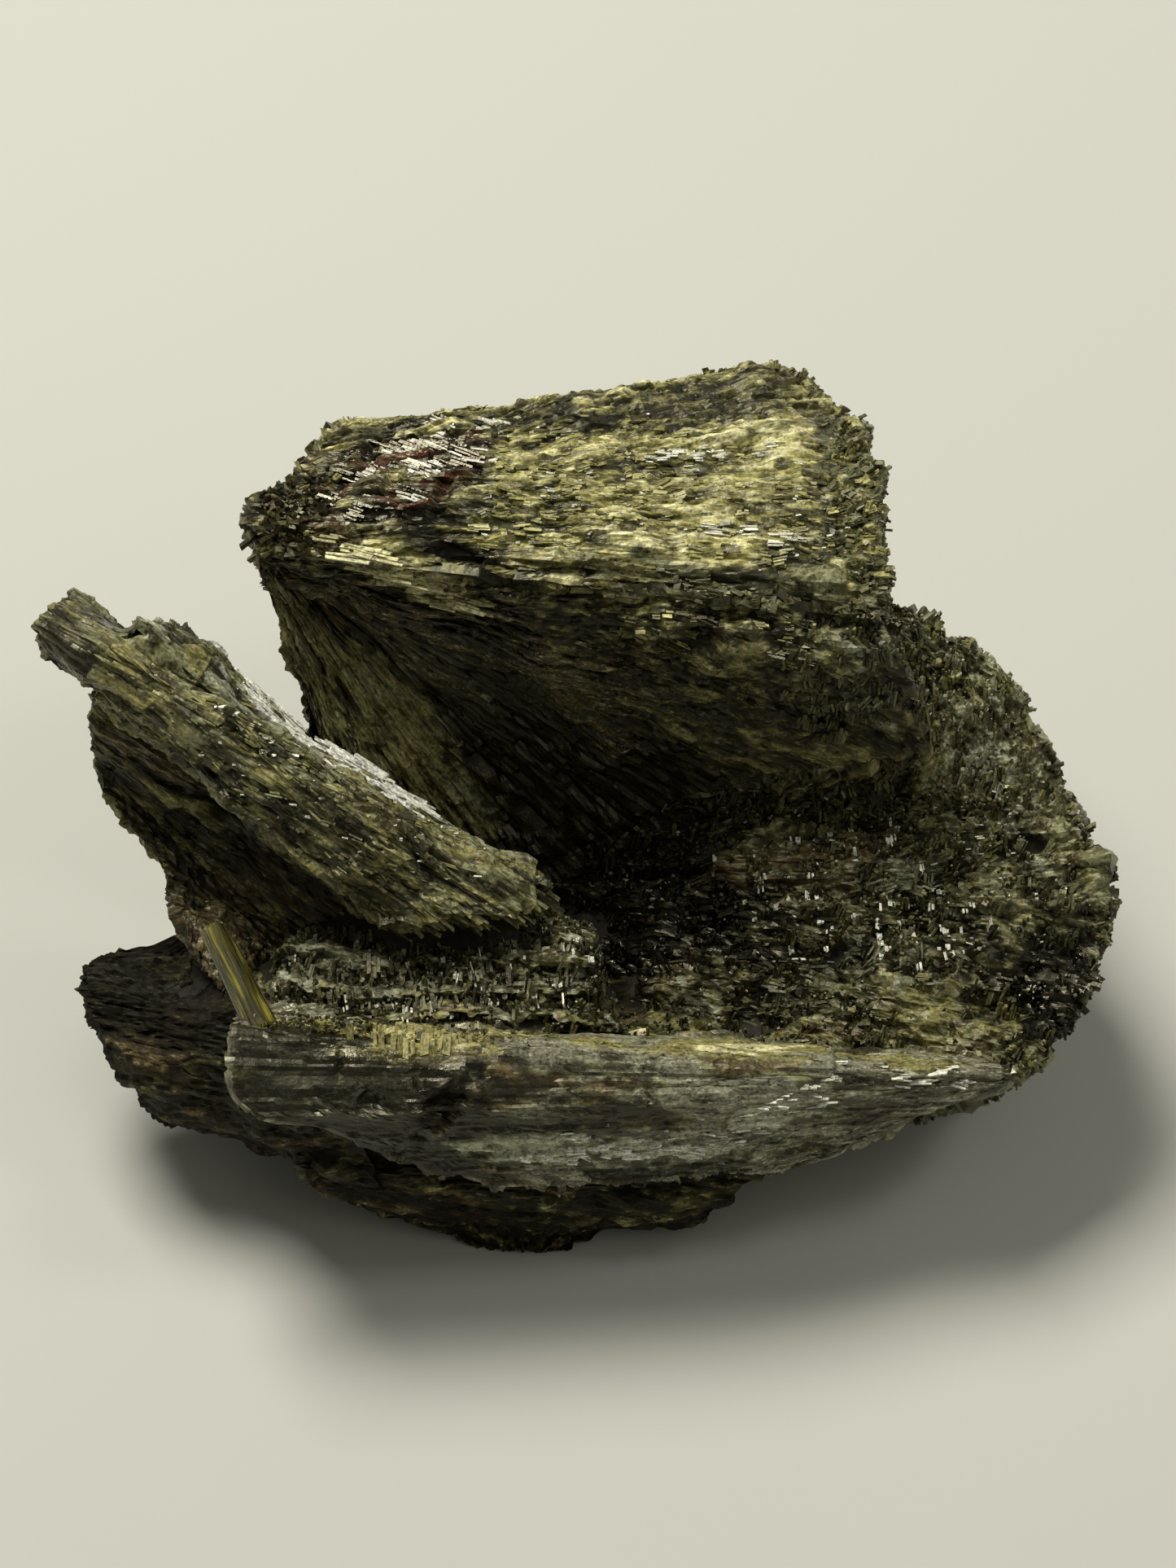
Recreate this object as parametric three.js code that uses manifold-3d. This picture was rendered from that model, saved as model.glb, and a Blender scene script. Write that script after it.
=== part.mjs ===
// Epidote fan: sheaves of bladed epidote crystals that radiate from one corner, grown together as one solid.
// Units are millimetres, +Z is up, and the cluster lies reclined on the flat broken heel at its lower back.
//
// The sheaves are laid out in the display frame, that of the side which shows the hollow fan: x runs right,
// y runs up across that side, and z comes out towards the viewer. The cluster is then tilted back.
import * as THREE from "three";
import { mergeVertices } from "three/addons/utils/BufferGeometryUtils.js";
import Module from "manifold-3d";

const reclineDeg = 40; // how far the display side leans back from upright
const heelLevel = -20.4; // height of the broken heel, before the cluster is set down
const rest = { x: 1.43, y: -5.23 }; // shift that puts the middle of the cluster's plan on the origin
const ribHeight = 0.55; // most that one rib or terrace stands above its neighbours
const ribGap = 0.12; // share of a rib's width taken by the groove on each of its sides
const finest = 0.04; // edges closer than this to a plane or a line are merged into it
const samePoint = 1e-4; // corners closer than this are one corner
const crystalColour = 0x5b5a36;

// A sheaf is a fan of flat-topped ribs, each broken by terraces. Each row is one line across the fan:
// [root x, y, z], [rim x, y, z], [depth at the root, depth at the rim].
// The depth runs back from the ribs along `back`, `crown` swells the ribs towards the viewer at mid length,
// and `ragged` is how far the rib ends stagger.
const sheaves = {
  topFan: {
    ribs: 24, crown: 1.2, ragged: 0.5, back: [0, 0, -1],
    rows: [
      [[-15.5, 24.3, -7], [4, 26.6, -10], [3, 3]],
      [[-16.5, 24, -6], [11, 28, -10.5], [3, 4]],
      [[-17.7, 22.8, -4], [15.2, 25, -7], [5, 7]],
      [[-19.3, 20.3, -1], [16.9, 20.5, -1], [7, 12]],
      [[-21.7, 18.5, 1], [17, 15.5, 4], [8, 14]],
      [[-20.9, 16, 1], [17, 11.8, 5.8], [7, 11]],
    ],
  },
  midFan: {
    ribs: 16, crown: -1, ragged: 1.1, back: [0, -0.1, -1],
    rows: [
      [[-20.6, 17, 0.4], [16.9, 12.4, 5.6], [7, 12]],
      [[-20.3, 15.8, 0], [18.4, 8.5, 6.2], [7, 16]],
      [[-20, 15.5, -0.5], [19, 4.3, 2.5], [7, 16]],
      [[-19.8, 15.3, -1], [11, 2, -3.5], [7, 12]],
    ],
  },
  hollowFan: {
    ribs: 17, crown: -0.6, ragged: 0.7, back: [0.05, 0, -1],
    rows: [
      [[-19.8, 15.8, -0.5], [14, 3.5, -4], [8, 14]],
      [[-20, 15.5, -0.5], [6, -1, -11], [8, 11]],
      [[-20, 15.3, -0.5], [-1, -4.5, -14], [6, 8]],
      [[-20.2, 15.2, -0.5], [-7, -5.5, -13], [5, 7]],
      [[-20.8, 15.6, -0.5], [-12.5, -3.5, -11], [3.5, 5]],
      [[-21.2, 16.2, -0.5], [-17.6, 3, -8], [2.5, 2]],
    ],
  },
  rightFan: {
    ribs: 30, crown: 4, ragged: 0.6, back: [-0.05, 0, -1],
    rows: [
      [[13, 9.5, 0], [17.8, 13.1, -1], [14, 10]],
      [[13, 7, -1], [22.7, 10.3, -2], [16, 11]],
      [[10.5, 3, -5], [26, 7.1, -2], [14, 12]],
      [[3, 0, -12], [28.6, 0.9, -2], [9, 11]],
      [[-3, -3, -14.5], [30.5, -2.8, -1], [7, 9]],
      [[-6, -5, -15.5], [31.2, -5.6, 0], [7, 8]],
      [[-7, -6.5, -15.5], [30.3, -9.9, 1], [7, 10]],
      [[-7, -8.5, -13.5], [28.8, -12.5, 2], [8, 12]],
      [[-6, -11, -10.5], [25.8, -15.9, 2.5], [10, 12]],
      [[-4, -14, -5], [18, -18.3, 1.5], [10, 10]],
    ],
  },
  lowerPrism: {
    ribs: 13, crown: 1.5, ragged: 0.4, back: [0, 0, -1],
    rows: [
      [[-22, -12.2, 5], [24.6, -15.2, 2], [7, 7]],
      [[-22.3, -13.1, 9], [25.2, -15.6, 4], [12, 9]],
      [[-22, -17.1, 10], [24.8, -16.5, 4], [14, 9]],
      [[-16, -19.2, 8.5], [21.2, -17.9, 3.5], [12, 9]],
      [[-11, -21.2, 6.5], [16.2, -19.8, 3], [10, 8]],
      [[-6, -22.7, 3.5], [11, -21.9, 2], [6, 6]],
    ],
  },
  longBlade: {
    ribs: 10, crown: 1, ragged: 0.5, back: [0, -0.15, -1],
    rows: [
      [[-26.5, 9.4, 0], [-4.8, -3.3, -3], [3, 4]],
      [[-28.2, 10.1, 3], [-4, -4.5, 1], [5, 7]],
      [[-29.7, 10.1, 5], [-5, -6, 4.5], [6, 9]],
      [[-30.9, 8.6, 4], [-9, -6.3, 5], [5, 8]],
      [[-30.8, 7.4, 3], [-13.5, -6.4, 4], [3, 6]],
    ],
  },
  bladeTip: {
    ribs: 5, crown: 0.3, ragged: 0.3, back: [0, -0.1, -1],
    rows: [
      [[-32.4, 13.5, 2], [-22, 7, 1], [3, 4]],
      [[-33.4, 12.6, 4], [-22, 6, 4], [4, 5]],
      [[-34.6, 11.1, 4.5], [-24, 4.5, 4.5], [4, 5]],
      [[-33.8, 9.9, 3], [-26, 4.5, 3], [3, 4]],
    ],
  },
  bladeCrest: {
    ribs: 3, crown: 0.2, ragged: 0.3, back: [0, -0.1, -1],
    rows: [
      [[-25.4, 11.2, 1], [-17, 3.4, -1], [3, 3]],
      [[-26.6, 11.8, 3], [-18, 3.6, 1.5], [4, 4]],
      [[-28.6, 11.8, 4.5], [-20, 4, 4], [4, 5]],
    ],
  },
  leftWing: {
    ribs: 13, crown: -2.2, ragged: 0.3, back: [0.15, 0, -1],
    rows: [
      [[-31.1, 7.4, 1], [-13, -5.5, 0], [3, 6]],
      [[-31.5, 4.8, -0.5], [-14.5, -7.5, -2], [3, 6]],
      [[-31.4, 2.8, -1.5], [-16, -9, -3], [3, 6]],
      [[-29.9, 0.2, -2], [-17, -10.5, -3], [3, 6]],
      [[-27.3, -3, -1.5], [-18, -11.8, -1.5], [3, 6]],
      [[-26.5, -5.5, -1], [-20, -12.5, 1], [3, 6]],
      [[-25.4, -8.8, 0], [-21, -13, 3.5], [3, 6]],
    ],
  },
  stepRows: {
    ribs: 10, crown: 0.6, ragged: 0.8, back: [0, 0, -1],
    rows: [
      [[-16, -7, -2], [-2, -6.5, 0.5], [10, 12]],
      [[-20, -8.5, -0.5], [-0.3, -8.8, 3], [9, 13]],
      [[-20.2, -10.8, 1], [-0.2, -10.8, 4], [10, 14]],
      [[-20.2, -13, 3], [1, -13.2, 4.5], [10, 15]],
    ],
  },
  lowerWing: {
    ribs: 11, crown: 0.6, ragged: 0.3, back: [0, 0, -1],
    rows: [
      [[-26, -7.8, -5], [-20, -8, -5], [3, 6]],
      [[-31.7, -9.2, -4], [-20, -10, -3], [2, 7]],
      [[-32.1, -10.8, -2], [-19, -12.5, 2], [4, 10]],
      [[-31, -13.7, -1], [-17, -16.5, 4], [6, 12]],
      [[-29.2, -16.7, -2], [-15, -19.5, 4], [6, 12]],
      [[-27.2, -18.9, -4], [-14, -21.5, 2], [3, 9]],
      [[-23.5, -19.7, -6], [-12.5, -23.6, -2], [2, 5]],
    ],
  },
  footSlab: {
    ribs: 9, crown: 0.5, ragged: 0.5, back: [0, 0.1, -1],
    rows: [
      [[-18.5, -20, 0], [9.5, -21.3, 2], [6, 8]],
      [[-18.7, -21.3, 1.5], [9.3, -22.3, 1.5], [7, 8]],
      [[-17.3, -23, 0.5], [7.6, -24.2, 0.5], [6, 7]],
      [[-14.3, -24.6, -1.5], [6.1, -25.5, -1.5], [5, 5]],
      [[-9.6, -26.1, -3.5], [0, -25.7, -3], [4, 4]],
      [[-7.3, -27, -4], [-2.4, -27.2, -4], [3, 3]],
    ],
  },
  heel: {
    ribs: 10, crown: -1, ragged: 0.8, back: [0, -0.1, -1],
    rows: [
      [[-6, -2.5, -17], [11, -2.5, -17], [6, 6]],
      [[-13, -7.5, -14], [19, -5.5, -13], [8, 8]],
      [[-16.5, -11.5, -8], [22, -9, -8], [12, 12]],
      [[-16, -16.5, -3], [22, -12.5, -4], [14, 14]],
      [[-13.5, -21.5, -2], [13.5, -18.5, -2], [12, 12]],
      [[-10, -24, -3], [3, -24, -3], [10, 10]],
    ],
  },
};

// The small clear crystal that leans across the gap between the wing and the lower prism.
const leaningCrystal = {
  from: [-23.9, -6.7, 2.5],
  to: [-20.8, -12.6, 7.5],
  width: 1.6,
  thickness: 1.3,
  sides: 6,
};

// Rows of blunt stubs where broken crystals end, each pointing out along `out`: around the apex and at
// the far end of the top fan.
const stubRows = [
  { start: [-19.8, 16, 0], end: [-18, 20.2, -2.5], out: [-1, 0.25, 0.2], count: 6, width: 2, length: 2.4 },
  { start: [-17.2, 21.2, -4], end: [-14.2, 23.2, -8], out: [-1, 1, 0], count: 6, width: 1.8, length: 1.3 },
  { start: [12.2, 25.6, -9], end: [15.4, 20.5, -4], out: [1, 0.3, 0], count: 5, width: 1.7, length: 2.4 },
];
const stubSides = 5;
const stubScatter = { place: 0.3, rise: 0.2, turn: 0.4, reach: 0.25, width: 0.3 };

// Where the terraces break a rib, as shares of its length, how far a break strays, and how sharp it is.
const terraces = [0.3, 0.62];
const breakScatter = 0.12;
const breakLength = 0.02;
const fullest = [0.12, 0.88]; // the crown fades out only beyond these shares of the way across the ribs

// A fixed, even spread of numbers from -1 to 1: the same on every run.
function scatter(i, k) {
  const s = Math.sin(i * 12.9898 + k * 78.233) * 43758.5453;
  return 2 * (s - Math.floor(s)) - 1;
}

function curveThrough(points) {
  return new THREE.CatmullRomCurve3(points.map((p) => new THREE.Vector3(...p)), false, "centripetal");
}

// A number that changes evenly from row to row.
function alongRows(values, t) {
  const place = t * (values.length - 1);
  const row = Math.min(Math.floor(place), values.length - 2);
  return THREE.MathUtils.lerp(values[row], values[row + 1], place - row);
}

// Distances along rib i, as shares from root to rim, with a short break at the end of each terrace.
function stationsOf(i) {
  const breaks = terraces.map((s, k) => s + breakScatter * scatter(i, k + 1));
  return [0, ...breaks.flatMap((s) => [s, s + breakLength]), 1];
}

// Where each rib begins and ends across the fan, as shares, with a groove left between neighbours.
function ribEdges(ribs) {
  return Array.from({ length: ribs }, (_, i) => [
    (i + (i ? ribGap : 0)) / ribs,
    (i + 1 - (i < ribs - 1 ? ribGap : 0)) / ribs,
  ]);
}

// The points of one sheaf: the terraced lines of its ribs in front, and a root and a rim point behind each.
function sheafPoints({ rows, ribs, crown, ragged, back }) {
  const rootCurve = curveThrough(rows.map((row) => row[0]));
  const rimCurve = curveThrough(rows.map((row) => row[1]));
  const behind = new THREE.Vector3(...back);
  const front = [];
  const rear = [];
  ribEdges(ribs).forEach((edges, i) => {
    for (const t of edges) {
      const root = rootCurve.getPoint(t);
      const rim = rimCurve.getPoint(t);
      const along = rim.clone().sub(root).normalize();
      rim.addScaledVector(along, ragged * scatter(i, 0));
      const fullness = Math.sin(Math.PI * THREE.MathUtils.clamp(t, ...fullest));
      stationsOf(i).forEach((s, j) => {
        const point = root.clone().lerp(rim, s);
        const lift = (ribHeight / 2) * scatter(i, 10 + Math.floor(j / 2));
        point.z += crown * 4 * s * (1 - s) * fullness + lift;
        front.push(point);
      });
      const backLift = (ribHeight / 2) * scatter(i, 20);
      const rootDepth = alongRows(rows.map((row) => row[2][0]), t) + backLift;
      const rimDepth = alongRows(rows.map((row) => row[2][1]), t) + backLift;
      rear.push(root.clone().addScaledVector(behind, rootDepth));
      rear.push(rim.clone().addScaledVector(behind, rimDepth));
    }
  });
  return { front, rear };
}

// The closed mesh of one sheaf: a front grid of ribs, a plain back grid behind it, and walls between them.
function sheafGeometry(sheaf) {
  const { front, rear } = sheafPoints(sheaf);
  const last = 2 * sheaf.ribs - 1;
  const steps = 2 * terraces.length + 1;
  const face = (i, j) => i * (steps + 1) + j;
  const root = (i) => front.length + 2 * i;
  const rim = (i) => root(i) + 1;
  const faces = [];
  const quad = (a, b, c, d) => faces.push(a, b, c, a, c, d);
  for (let i = 0; i < last; i++) {
    for (let j = 0; j < steps; j++) quad(face(i, j), face(i + 1, j), face(i + 1, j + 1), face(i, j + 1));
    quad(root(i), rim(i), rim(i + 1), root(i + 1));
    quad(face(i, 0), root(i), root(i + 1), face(i + 1, 0));
    quad(face(i, steps), face(i + 1, steps), rim(i + 1), rim(i));
  }
  for (let j = 0; j < steps; j++) {
    faces.push(face(0, j), face(0, j + 1), root(0));
    faces.push(face(last, j + 1), face(last, j), root(last));
  }
  faces.push(face(0, steps), rim(0), root(0));
  faces.push(rim(last), face(last, steps), root(last));
  const positions = [...front, ...rear].flatMap((p) => p.toArray());
  const geometry = new THREE.BufferGeometry();
  geometry.setAttribute("position", new THREE.Float32BufferAttribute(positions, 3));
  geometry.setIndex(faces);
  return geometry;
}

// A straight many-sided crystal between two points.
function crystalGeometry({ from, to, width, thickness, sides }) {
  const start = new THREE.Vector3(...from);
  const end = new THREE.Vector3(...to);
  const length = start.distanceTo(end);
  const geometry = new THREE.CylinderGeometry(width / 2, width / 2, length, sides);
  geometry.scale(1, 1, thickness / width);
  const axis = end.clone().sub(start).normalize();
  geometry.applyQuaternion(new THREE.Quaternion().setFromUnitVectors(new THREE.Vector3(0, 1, 0), axis));
  const middle = start.add(end).multiplyScalar(0.5);
  geometry.translate(middle.x, middle.y, middle.z);
  return geometry;
}

// The stubs of one row, spread between its ends and scattered a little in place, reach and width.
function stubsOf({ start, end, out, count, width, length }) {
  return Array.from({ length: count }, (_, k) => {
    const across = (k + 0.5 + stubScatter.place * scatter(k, 1)) / count;
    const base = new THREE.Vector3(...start).lerp(new THREE.Vector3(...end), across);
    const aim = new THREE.Vector3(...out);
    aim.y += stubScatter.rise * scatter(k, 2);
    aim.z += stubScatter.turn * scatter(k, 3);
    const tip = base.clone().addScaledVector(aim, (length / 2) * (1 + stubScatter.reach * scatter(k, 4)));
    const tail = base.clone().addScaledVector(aim, -length);
    const size = width * (1 + stubScatter.width * scatter(k, 5));
    const ends = { from: tail.toArray(), to: tip.toArray() };
    return crystalGeometry({ ...ends, width: size, thickness: size, sides: stubSides });
  });
}

const wasm = await Module();
wasm.setup();

function solidFrom(geometry) {
  const bare = geometry.clone();
  bare.deleteAttribute("normal");
  bare.deleteAttribute("uv");
  const merged = mergeVertices(bare, samePoint);
  return new wasm.Manifold(
    new wasm.Mesh({
      numProp: 3,
      vertProperties: merged.attributes.position.array,
      triVerts: new Uint32Array(merged.index.array),
    }),
  );
}

function geometryFrom(solid) {
  const mesh = solid.getMesh();
  const geometry = new THREE.BufferGeometry();
  geometry.setAttribute("position", new THREE.BufferAttribute(Float32Array.from(mesh.vertProperties), 3));
  geometry.setIndex(new THREE.BufferAttribute(Uint32Array.from(mesh.triVerts), 1));
  geometry.computeVertexNormals();
  return geometry;
}

// All the crystals are intergrown, so the sheaves are joined into one solid.
let cluster = solidFrom(crystalGeometry(leaningCrystal));
for (const sheaf of Object.values(sheaves)) cluster = cluster.add(solidFrom(sheafGeometry(sheaf)));
for (const stub of stubRows.flatMap(stubsOf)) cluster = cluster.add(solidFrom(stub));

// The broken heel: everything under the surface that the cluster lies on is cut away flat.
const recline = THREE.MathUtils.degToRad(reclineDeg);
const groundSize = 200;
const ground = new THREE.BoxGeometry(groundSize, groundSize, groundSize);
ground.translate(0, 0, heelLevel - groundSize / 2);
ground.rotateX(-recline);
cluster = cluster.subtract(solidFrom(ground));

// Pockets that the sheaves seal between them are filled, and loose chips are left off.
const bodies = cluster.simplify(finest).decompose();
cluster = bodies.reduce((most, body) => (body.volume() > most.volume() ? body : most));

const crystal = new THREE.MeshStandardMaterial({ color: crystalColour, roughness: 0.35, metalness: 0 });
const epidoteFan = new THREE.Mesh(geometryFrom(cluster), crystal);
epidoteFan.name = "epidote_fan";
epidoteFan.rotation.x = recline;
epidoteFan.position.set(rest.x, rest.y, -heelLevel);

const part = new THREE.Group();
part.add(epidoteFan);

export default part;
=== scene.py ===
from contextlib import contextmanager
import math

import bpy
import numpy as np
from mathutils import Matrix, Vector
from mathutils.bvhtree import BVHTree


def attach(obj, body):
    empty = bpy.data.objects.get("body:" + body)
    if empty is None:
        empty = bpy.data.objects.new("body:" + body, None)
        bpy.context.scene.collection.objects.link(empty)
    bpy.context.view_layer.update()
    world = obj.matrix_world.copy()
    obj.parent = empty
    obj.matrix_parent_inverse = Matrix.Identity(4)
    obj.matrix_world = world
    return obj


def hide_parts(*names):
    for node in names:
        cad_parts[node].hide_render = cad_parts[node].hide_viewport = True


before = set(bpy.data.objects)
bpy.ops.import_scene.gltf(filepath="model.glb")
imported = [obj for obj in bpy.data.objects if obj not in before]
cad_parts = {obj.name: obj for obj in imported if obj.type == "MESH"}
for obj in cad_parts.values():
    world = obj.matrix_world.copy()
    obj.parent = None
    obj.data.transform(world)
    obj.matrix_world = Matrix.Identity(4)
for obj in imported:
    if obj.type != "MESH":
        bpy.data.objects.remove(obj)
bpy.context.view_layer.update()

mm = 0.001

# how the display side is laid down: leaned back, then set on its heel (millimetres)
setDown = {"reclineDeg": 40, "heelLevel": -20.4, "shiftX": 1.43, "shiftY": -5.23}


def toWorld(points):
    # display frame in millimetres -> the part's frame in metres
    lean = math.radians(90 - setDown["reclineDeg"])
    x, y, z = np.moveaxis(np.asarray(points, float), -1, 0)
    back = y * math.sin(lean) - z * math.cos(lean) + setDown["shiftY"]
    up = y * math.cos(lean) + z * math.sin(lean) - setDown["heelLevel"]
    return np.stack([x + setDown["shiftX"], back, up], -1) * mm


def placed(name, data):
    # a new object in the scene
    made = bpy.data.objects.new(name, data)
    bpy.context.collection.objects.link(made)
    return made


def pick(piece=None):
    # leaves one piece selected, or nothing
    bpy.ops.object.select_all(action="DESELECT")
    if piece:
        piece.select_set(True)
        bpy.context.view_layer.objects.active = piece


@contextmanager
def editing(piece):
    # edit mode with all of a piece selected
    pick(piece)
    bpy.ops.object.mode_set(mode="EDIT")
    bpy.ops.mesh.select_all(action="SELECT")
    yield
    bpy.ops.object.mode_set(mode="OBJECT")


def addRod(sides):
    # a rod of unit size
    pick()
    bpy.ops.mesh.primitive_cylinder_add(vertices=sides, radius=0.5, depth=1, end_fill_type="NGON")
    return bpy.context.object


def fill(items, key, values, kind=np.float32):
    items.foreach_set(key, values.astype(kind).ravel())


# aim, distance, lens and sensor in millimetres, clip in metres
camera = {"aim": (-0.875, 1.85, 0), "distance": 400, "lens": 149.5, "sensor": 36, "clip": (0.01, 10)}
# from: the way to a light; away and size in metres, power in watts
lights = {
    "key": {"from": (-0.3, 0.86, 0.42), "away": 0.62, "size": 0.28, "power": 3.5, "colour": (1, 0.97, 0.86)},
    "rim": {"from": (0.39, 0.67, -0.63), "away": 0.6, "size": 0.18, "power": 0.9, "colour": (1, 0.98, 0.86)},
    "fill": {"from": (0.55, 0.25, 0.8), "away": 0.7, "size": 0.6, "power": 0.35, "colour": (1, 0.98, 0.85)},
    "glint": {"from": (0.6, 0.5, 0.62), "away": 0.62, "size": 0.12, "power": 0.3, "colour": (1, 0.98, 0.92)},
}
# sky and strength light the room; reach: the floor's size in metres
room = {
    "sky": (0.97, 0.96, 0.8), "strength": 0.1, "floor": (0.714, 0.718, 0.679), "reach": 3, "dull": 0.9,
    "sheen": 0.2,
}


def addCamera():
    x, y, z = camera["aim"]
    data = bpy.data.cameras.new("camera")
    data.lens = camera["lens"]
    data.sensor_width = camera["sensor"]
    data.clip_start, data.clip_end = camera["clip"]
    eye = placed("camera", data)
    eye.location = toWorld((x, y, z + camera["distance"]))
    eye.rotation_euler = (math.radians(setDown["reclineDeg"]), 0, 0)
    bpy.context.scene.camera = eye


def addLights():
    middle = Vector(toWorld((0, 0, 0)))
    for name, look in lights.items():
        data = bpy.data.lights.new(name, "AREA")
        data.shape = "SQUARE"
        data.size = look["size"]
        data.energy = look["power"]
        data.color = look["colour"]
        lamp = placed(name, data)
        towards = Vector(toWorld(look["from"]) - toWorld((0, 0, 0))).normalized()
        lamp.location = middle + towards * look["away"]
        lamp.rotation_euler = towards.to_track_quat("Z", "Y").to_euler()
    world = bpy.data.worlds.new("room")
    world.use_nodes = True
    sky = world.node_tree.nodes["Background"]
    sky.inputs["Color"].default_value = (*room["sky"], 1)
    sky.inputs["Strength"].default_value = room["strength"]
    bpy.context.scene.world = world


def addFloor():
    pick()
    bpy.ops.mesh.primitive_plane_add(size=room["reach"], location=(0, 0, 0))
    floor = bpy.context.object
    floor.name = "floor"
    paper = bpy.data.materials.new("paper")
    paper.use_nodes = True
    shader = paper.node_tree.nodes["Principled BSDF"]
    shader.inputs["Base Color"].default_value = (*room["floor"], 1)
    shader.inputs["Roughness"].default_value = room["dull"]
    shader.inputs["Specular IOR Level"].default_value = room["sheen"]
    floor.data.materials.append(paper)


addCamera()
addLights()
addFloor()
bpy.context.scene.view_settings.view_transform = "Standard"
print("camera, lights and floor placed")

# colours from dark to light, red, green and blue out of 255, and how glassy each kind is
palettes = {
    "bright": ([(58, 56, 26), (98, 94, 48), (134, 129, 70), (164, 158, 92), (196, 190, 126), (224, 218, 166)],
               0.6),
    "glass": ([(7, 6, 3), (15, 12, 5), (30, 25, 11), (54, 46, 26), (92, 84, 56)], 1.0),
    "garnet": ([(14, 6, 3), (30, 11, 6), (54, 20, 12), (84, 46, 30)], 0.9),
    "olive": ([(24, 22, 8), (48, 45, 19), (74, 70, 34), (104, 99, 54), (138, 132, 82)], 0.55),
    "dark": ([(9, 8, 3), (17, 16, 6), (28, 26, 11), (44, 41, 20), (70, 66, 38)], 0.7),
    "green": ([(24, 24, 12), (44, 44, 24), (70, 70, 42), (98, 98, 64), (130, 130, 94)], 0.35),
    # grey frosted tones; as the pale strip on the long blade's top edge and the pale patch on the prism's
    # lower edge they are a painted highlight
    "frost": ([(46, 47, 32), (74, 75, 54), (104, 106, 82), (136, 138, 112), (170, 172, 148)], 0.3),
    "brown": ([(14, 10, 4), (28, 21, 9), (46, 36, 18), (68, 56, 32), (98, 84, 54)], 0.5),
    "yellow": ([(66, 61, 30), (98, 93, 50), (128, 122, 68), (156, 149, 92), (188, 180, 124)], 0.7),
    # near-white for glints: painted highlight
    "silver": ([(96, 96, 82), (140, 140, 126), (190, 190, 178), (226, 226, 216), (245, 245, 238)], 0.9),
    "grey": ([(34, 33, 23), (56, 55, 41), (78, 76, 60), (102, 100, 82), (136, 134, 114)], 0.85),
}


def linear(colour):
    c = np.asarray(colour, float) / 255
    return np.where(c > 0.04045, ((c + 0.055) / 1.055) ** 2.4, c / 12.92)


def eased(x):
    # from 0 to 1 with no corner at either end
    x = np.clip(x, 0, 1)
    return x * x * (3 - 2 * x)


def lumps(points, size):
    # smooth unevenness from -1 to 1, about `size` across, the same on every sheaf that passes there
    x, y, z = np.moveaxis(points * 2 * math.pi / size, -1, 0)
    wave = np.sin(x + 0.4 * y + 1.3) + np.sin(0.9 * y - 0.65 * x + 0.8 * z + 4.1)
    return (wave + np.sin(0.8 * z + 0.4 * x - 0.64 * y + 2.2)) / 3


# where a patch ends, over how much of its reach, and how ragged it is there: share and size of two lumps
patchEdge = {"outer": 1.4, "soft": 0.8, "broad": (0.18, 2.9), "fine": (0.12, 1.2)}


def oval(points, patch):
    # 1 inside a leaning oval on the display side, 0 outside, with a soft and ragged edge; the patch gives its
    # middle, half its length and width, and its turn in degrees
    x, y, wide, tall, turn = patch
    c, s = math.cos(math.radians(turn)), math.sin(math.radians(turn))
    dx, dy = points[:, 0] - x, points[:, 1] - y
    reach = np.hypot((dx * c + dy * s) / wide, (dy * c - dx * s) / tall)
    (broad, size), (fine, little) = patchEdge["broad"], patchEdge["fine"]
    ragged = broad * lumps(points, size) + fine * lumps(points[:, ::-1], little)
    return eased((patchEdge["outer"] - reach + ragged) / patchEdge["soft"])


def coloured(points, shades, draw, level):
    # a shade is a palette, its weight and, unless it is everywhere, its patch; draw, from 0 to 1, picks the
    # palette, and level the place in it from dark to light
    everywhere = np.ones(len(points))
    weights = [weight * (oval(points, *patch) if patch else everywhere) for _, weight, *patch in shades]
    weights = np.cumsum(np.array(weights) / np.sum(weights, 0), 0)
    which = (draw > weights).sum(0).clip(0, len(shades) - 1)
    tint, gloss = np.zeros((len(points), 3)), np.zeros(len(points))
    for k, shade in enumerate(shades):
        here = which == k
        colours, shine = palettes[shade[0]]
        place = np.clip(level[here], 0, 1) * (len(colours) - 1)
        ramp = linear(colours)
        tint[here] = np.stack([np.interp(place, range(len(colours)), ramp[:, c]) for c in range(3)], -1)
        gloss[here] = shine
    return tint, gloss


def paler(points, sheaf):
    # how much lighter a sheaf is painted at each point, all over and in patches: painted light, and painted
    # shade where it is negative
    amounts = [amount * oval(points, patch) for amount, patch in sheaf.get("shaded", [])]
    return sheaf.get("pale", 0) + sum(amounts, np.zeros(len(points)))


def alongCurve(points, t):
    # centripetal spline through given points
    ends = np.vstack([2 * points[0] - points[1], points, 2 * points[-1] - points[-2]])
    place = np.clip(t, 0, 1) * (len(points) - 1)
    k = np.minimum(place.astype(int), len(points) - 2)
    w = (place - k)[:, None]
    a, b, c, d = (ends[k + i] for i in range(4))
    spans = [np.linalg.norm(end - start, axis=1) ** 0.5 for start, end in ((a, b), (b, c), (c, d))]
    ab, bc, cd = np.maximum(spans, 1e-4)[:, :, None]
    leave = ((b - a) / ab - (c - a) / (ab + bc) + (c - b) / bc) * bc
    arrive = ((c - b) / bc - (d - b) / (bc + cd) + (d - c) / cd) * bc
    curve = b + leave * w + (3 * (c - b) - 2 * leave - arrive) * w**2
    return curve + (2 * (b - c) + leave + arrive) * w**3


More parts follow.
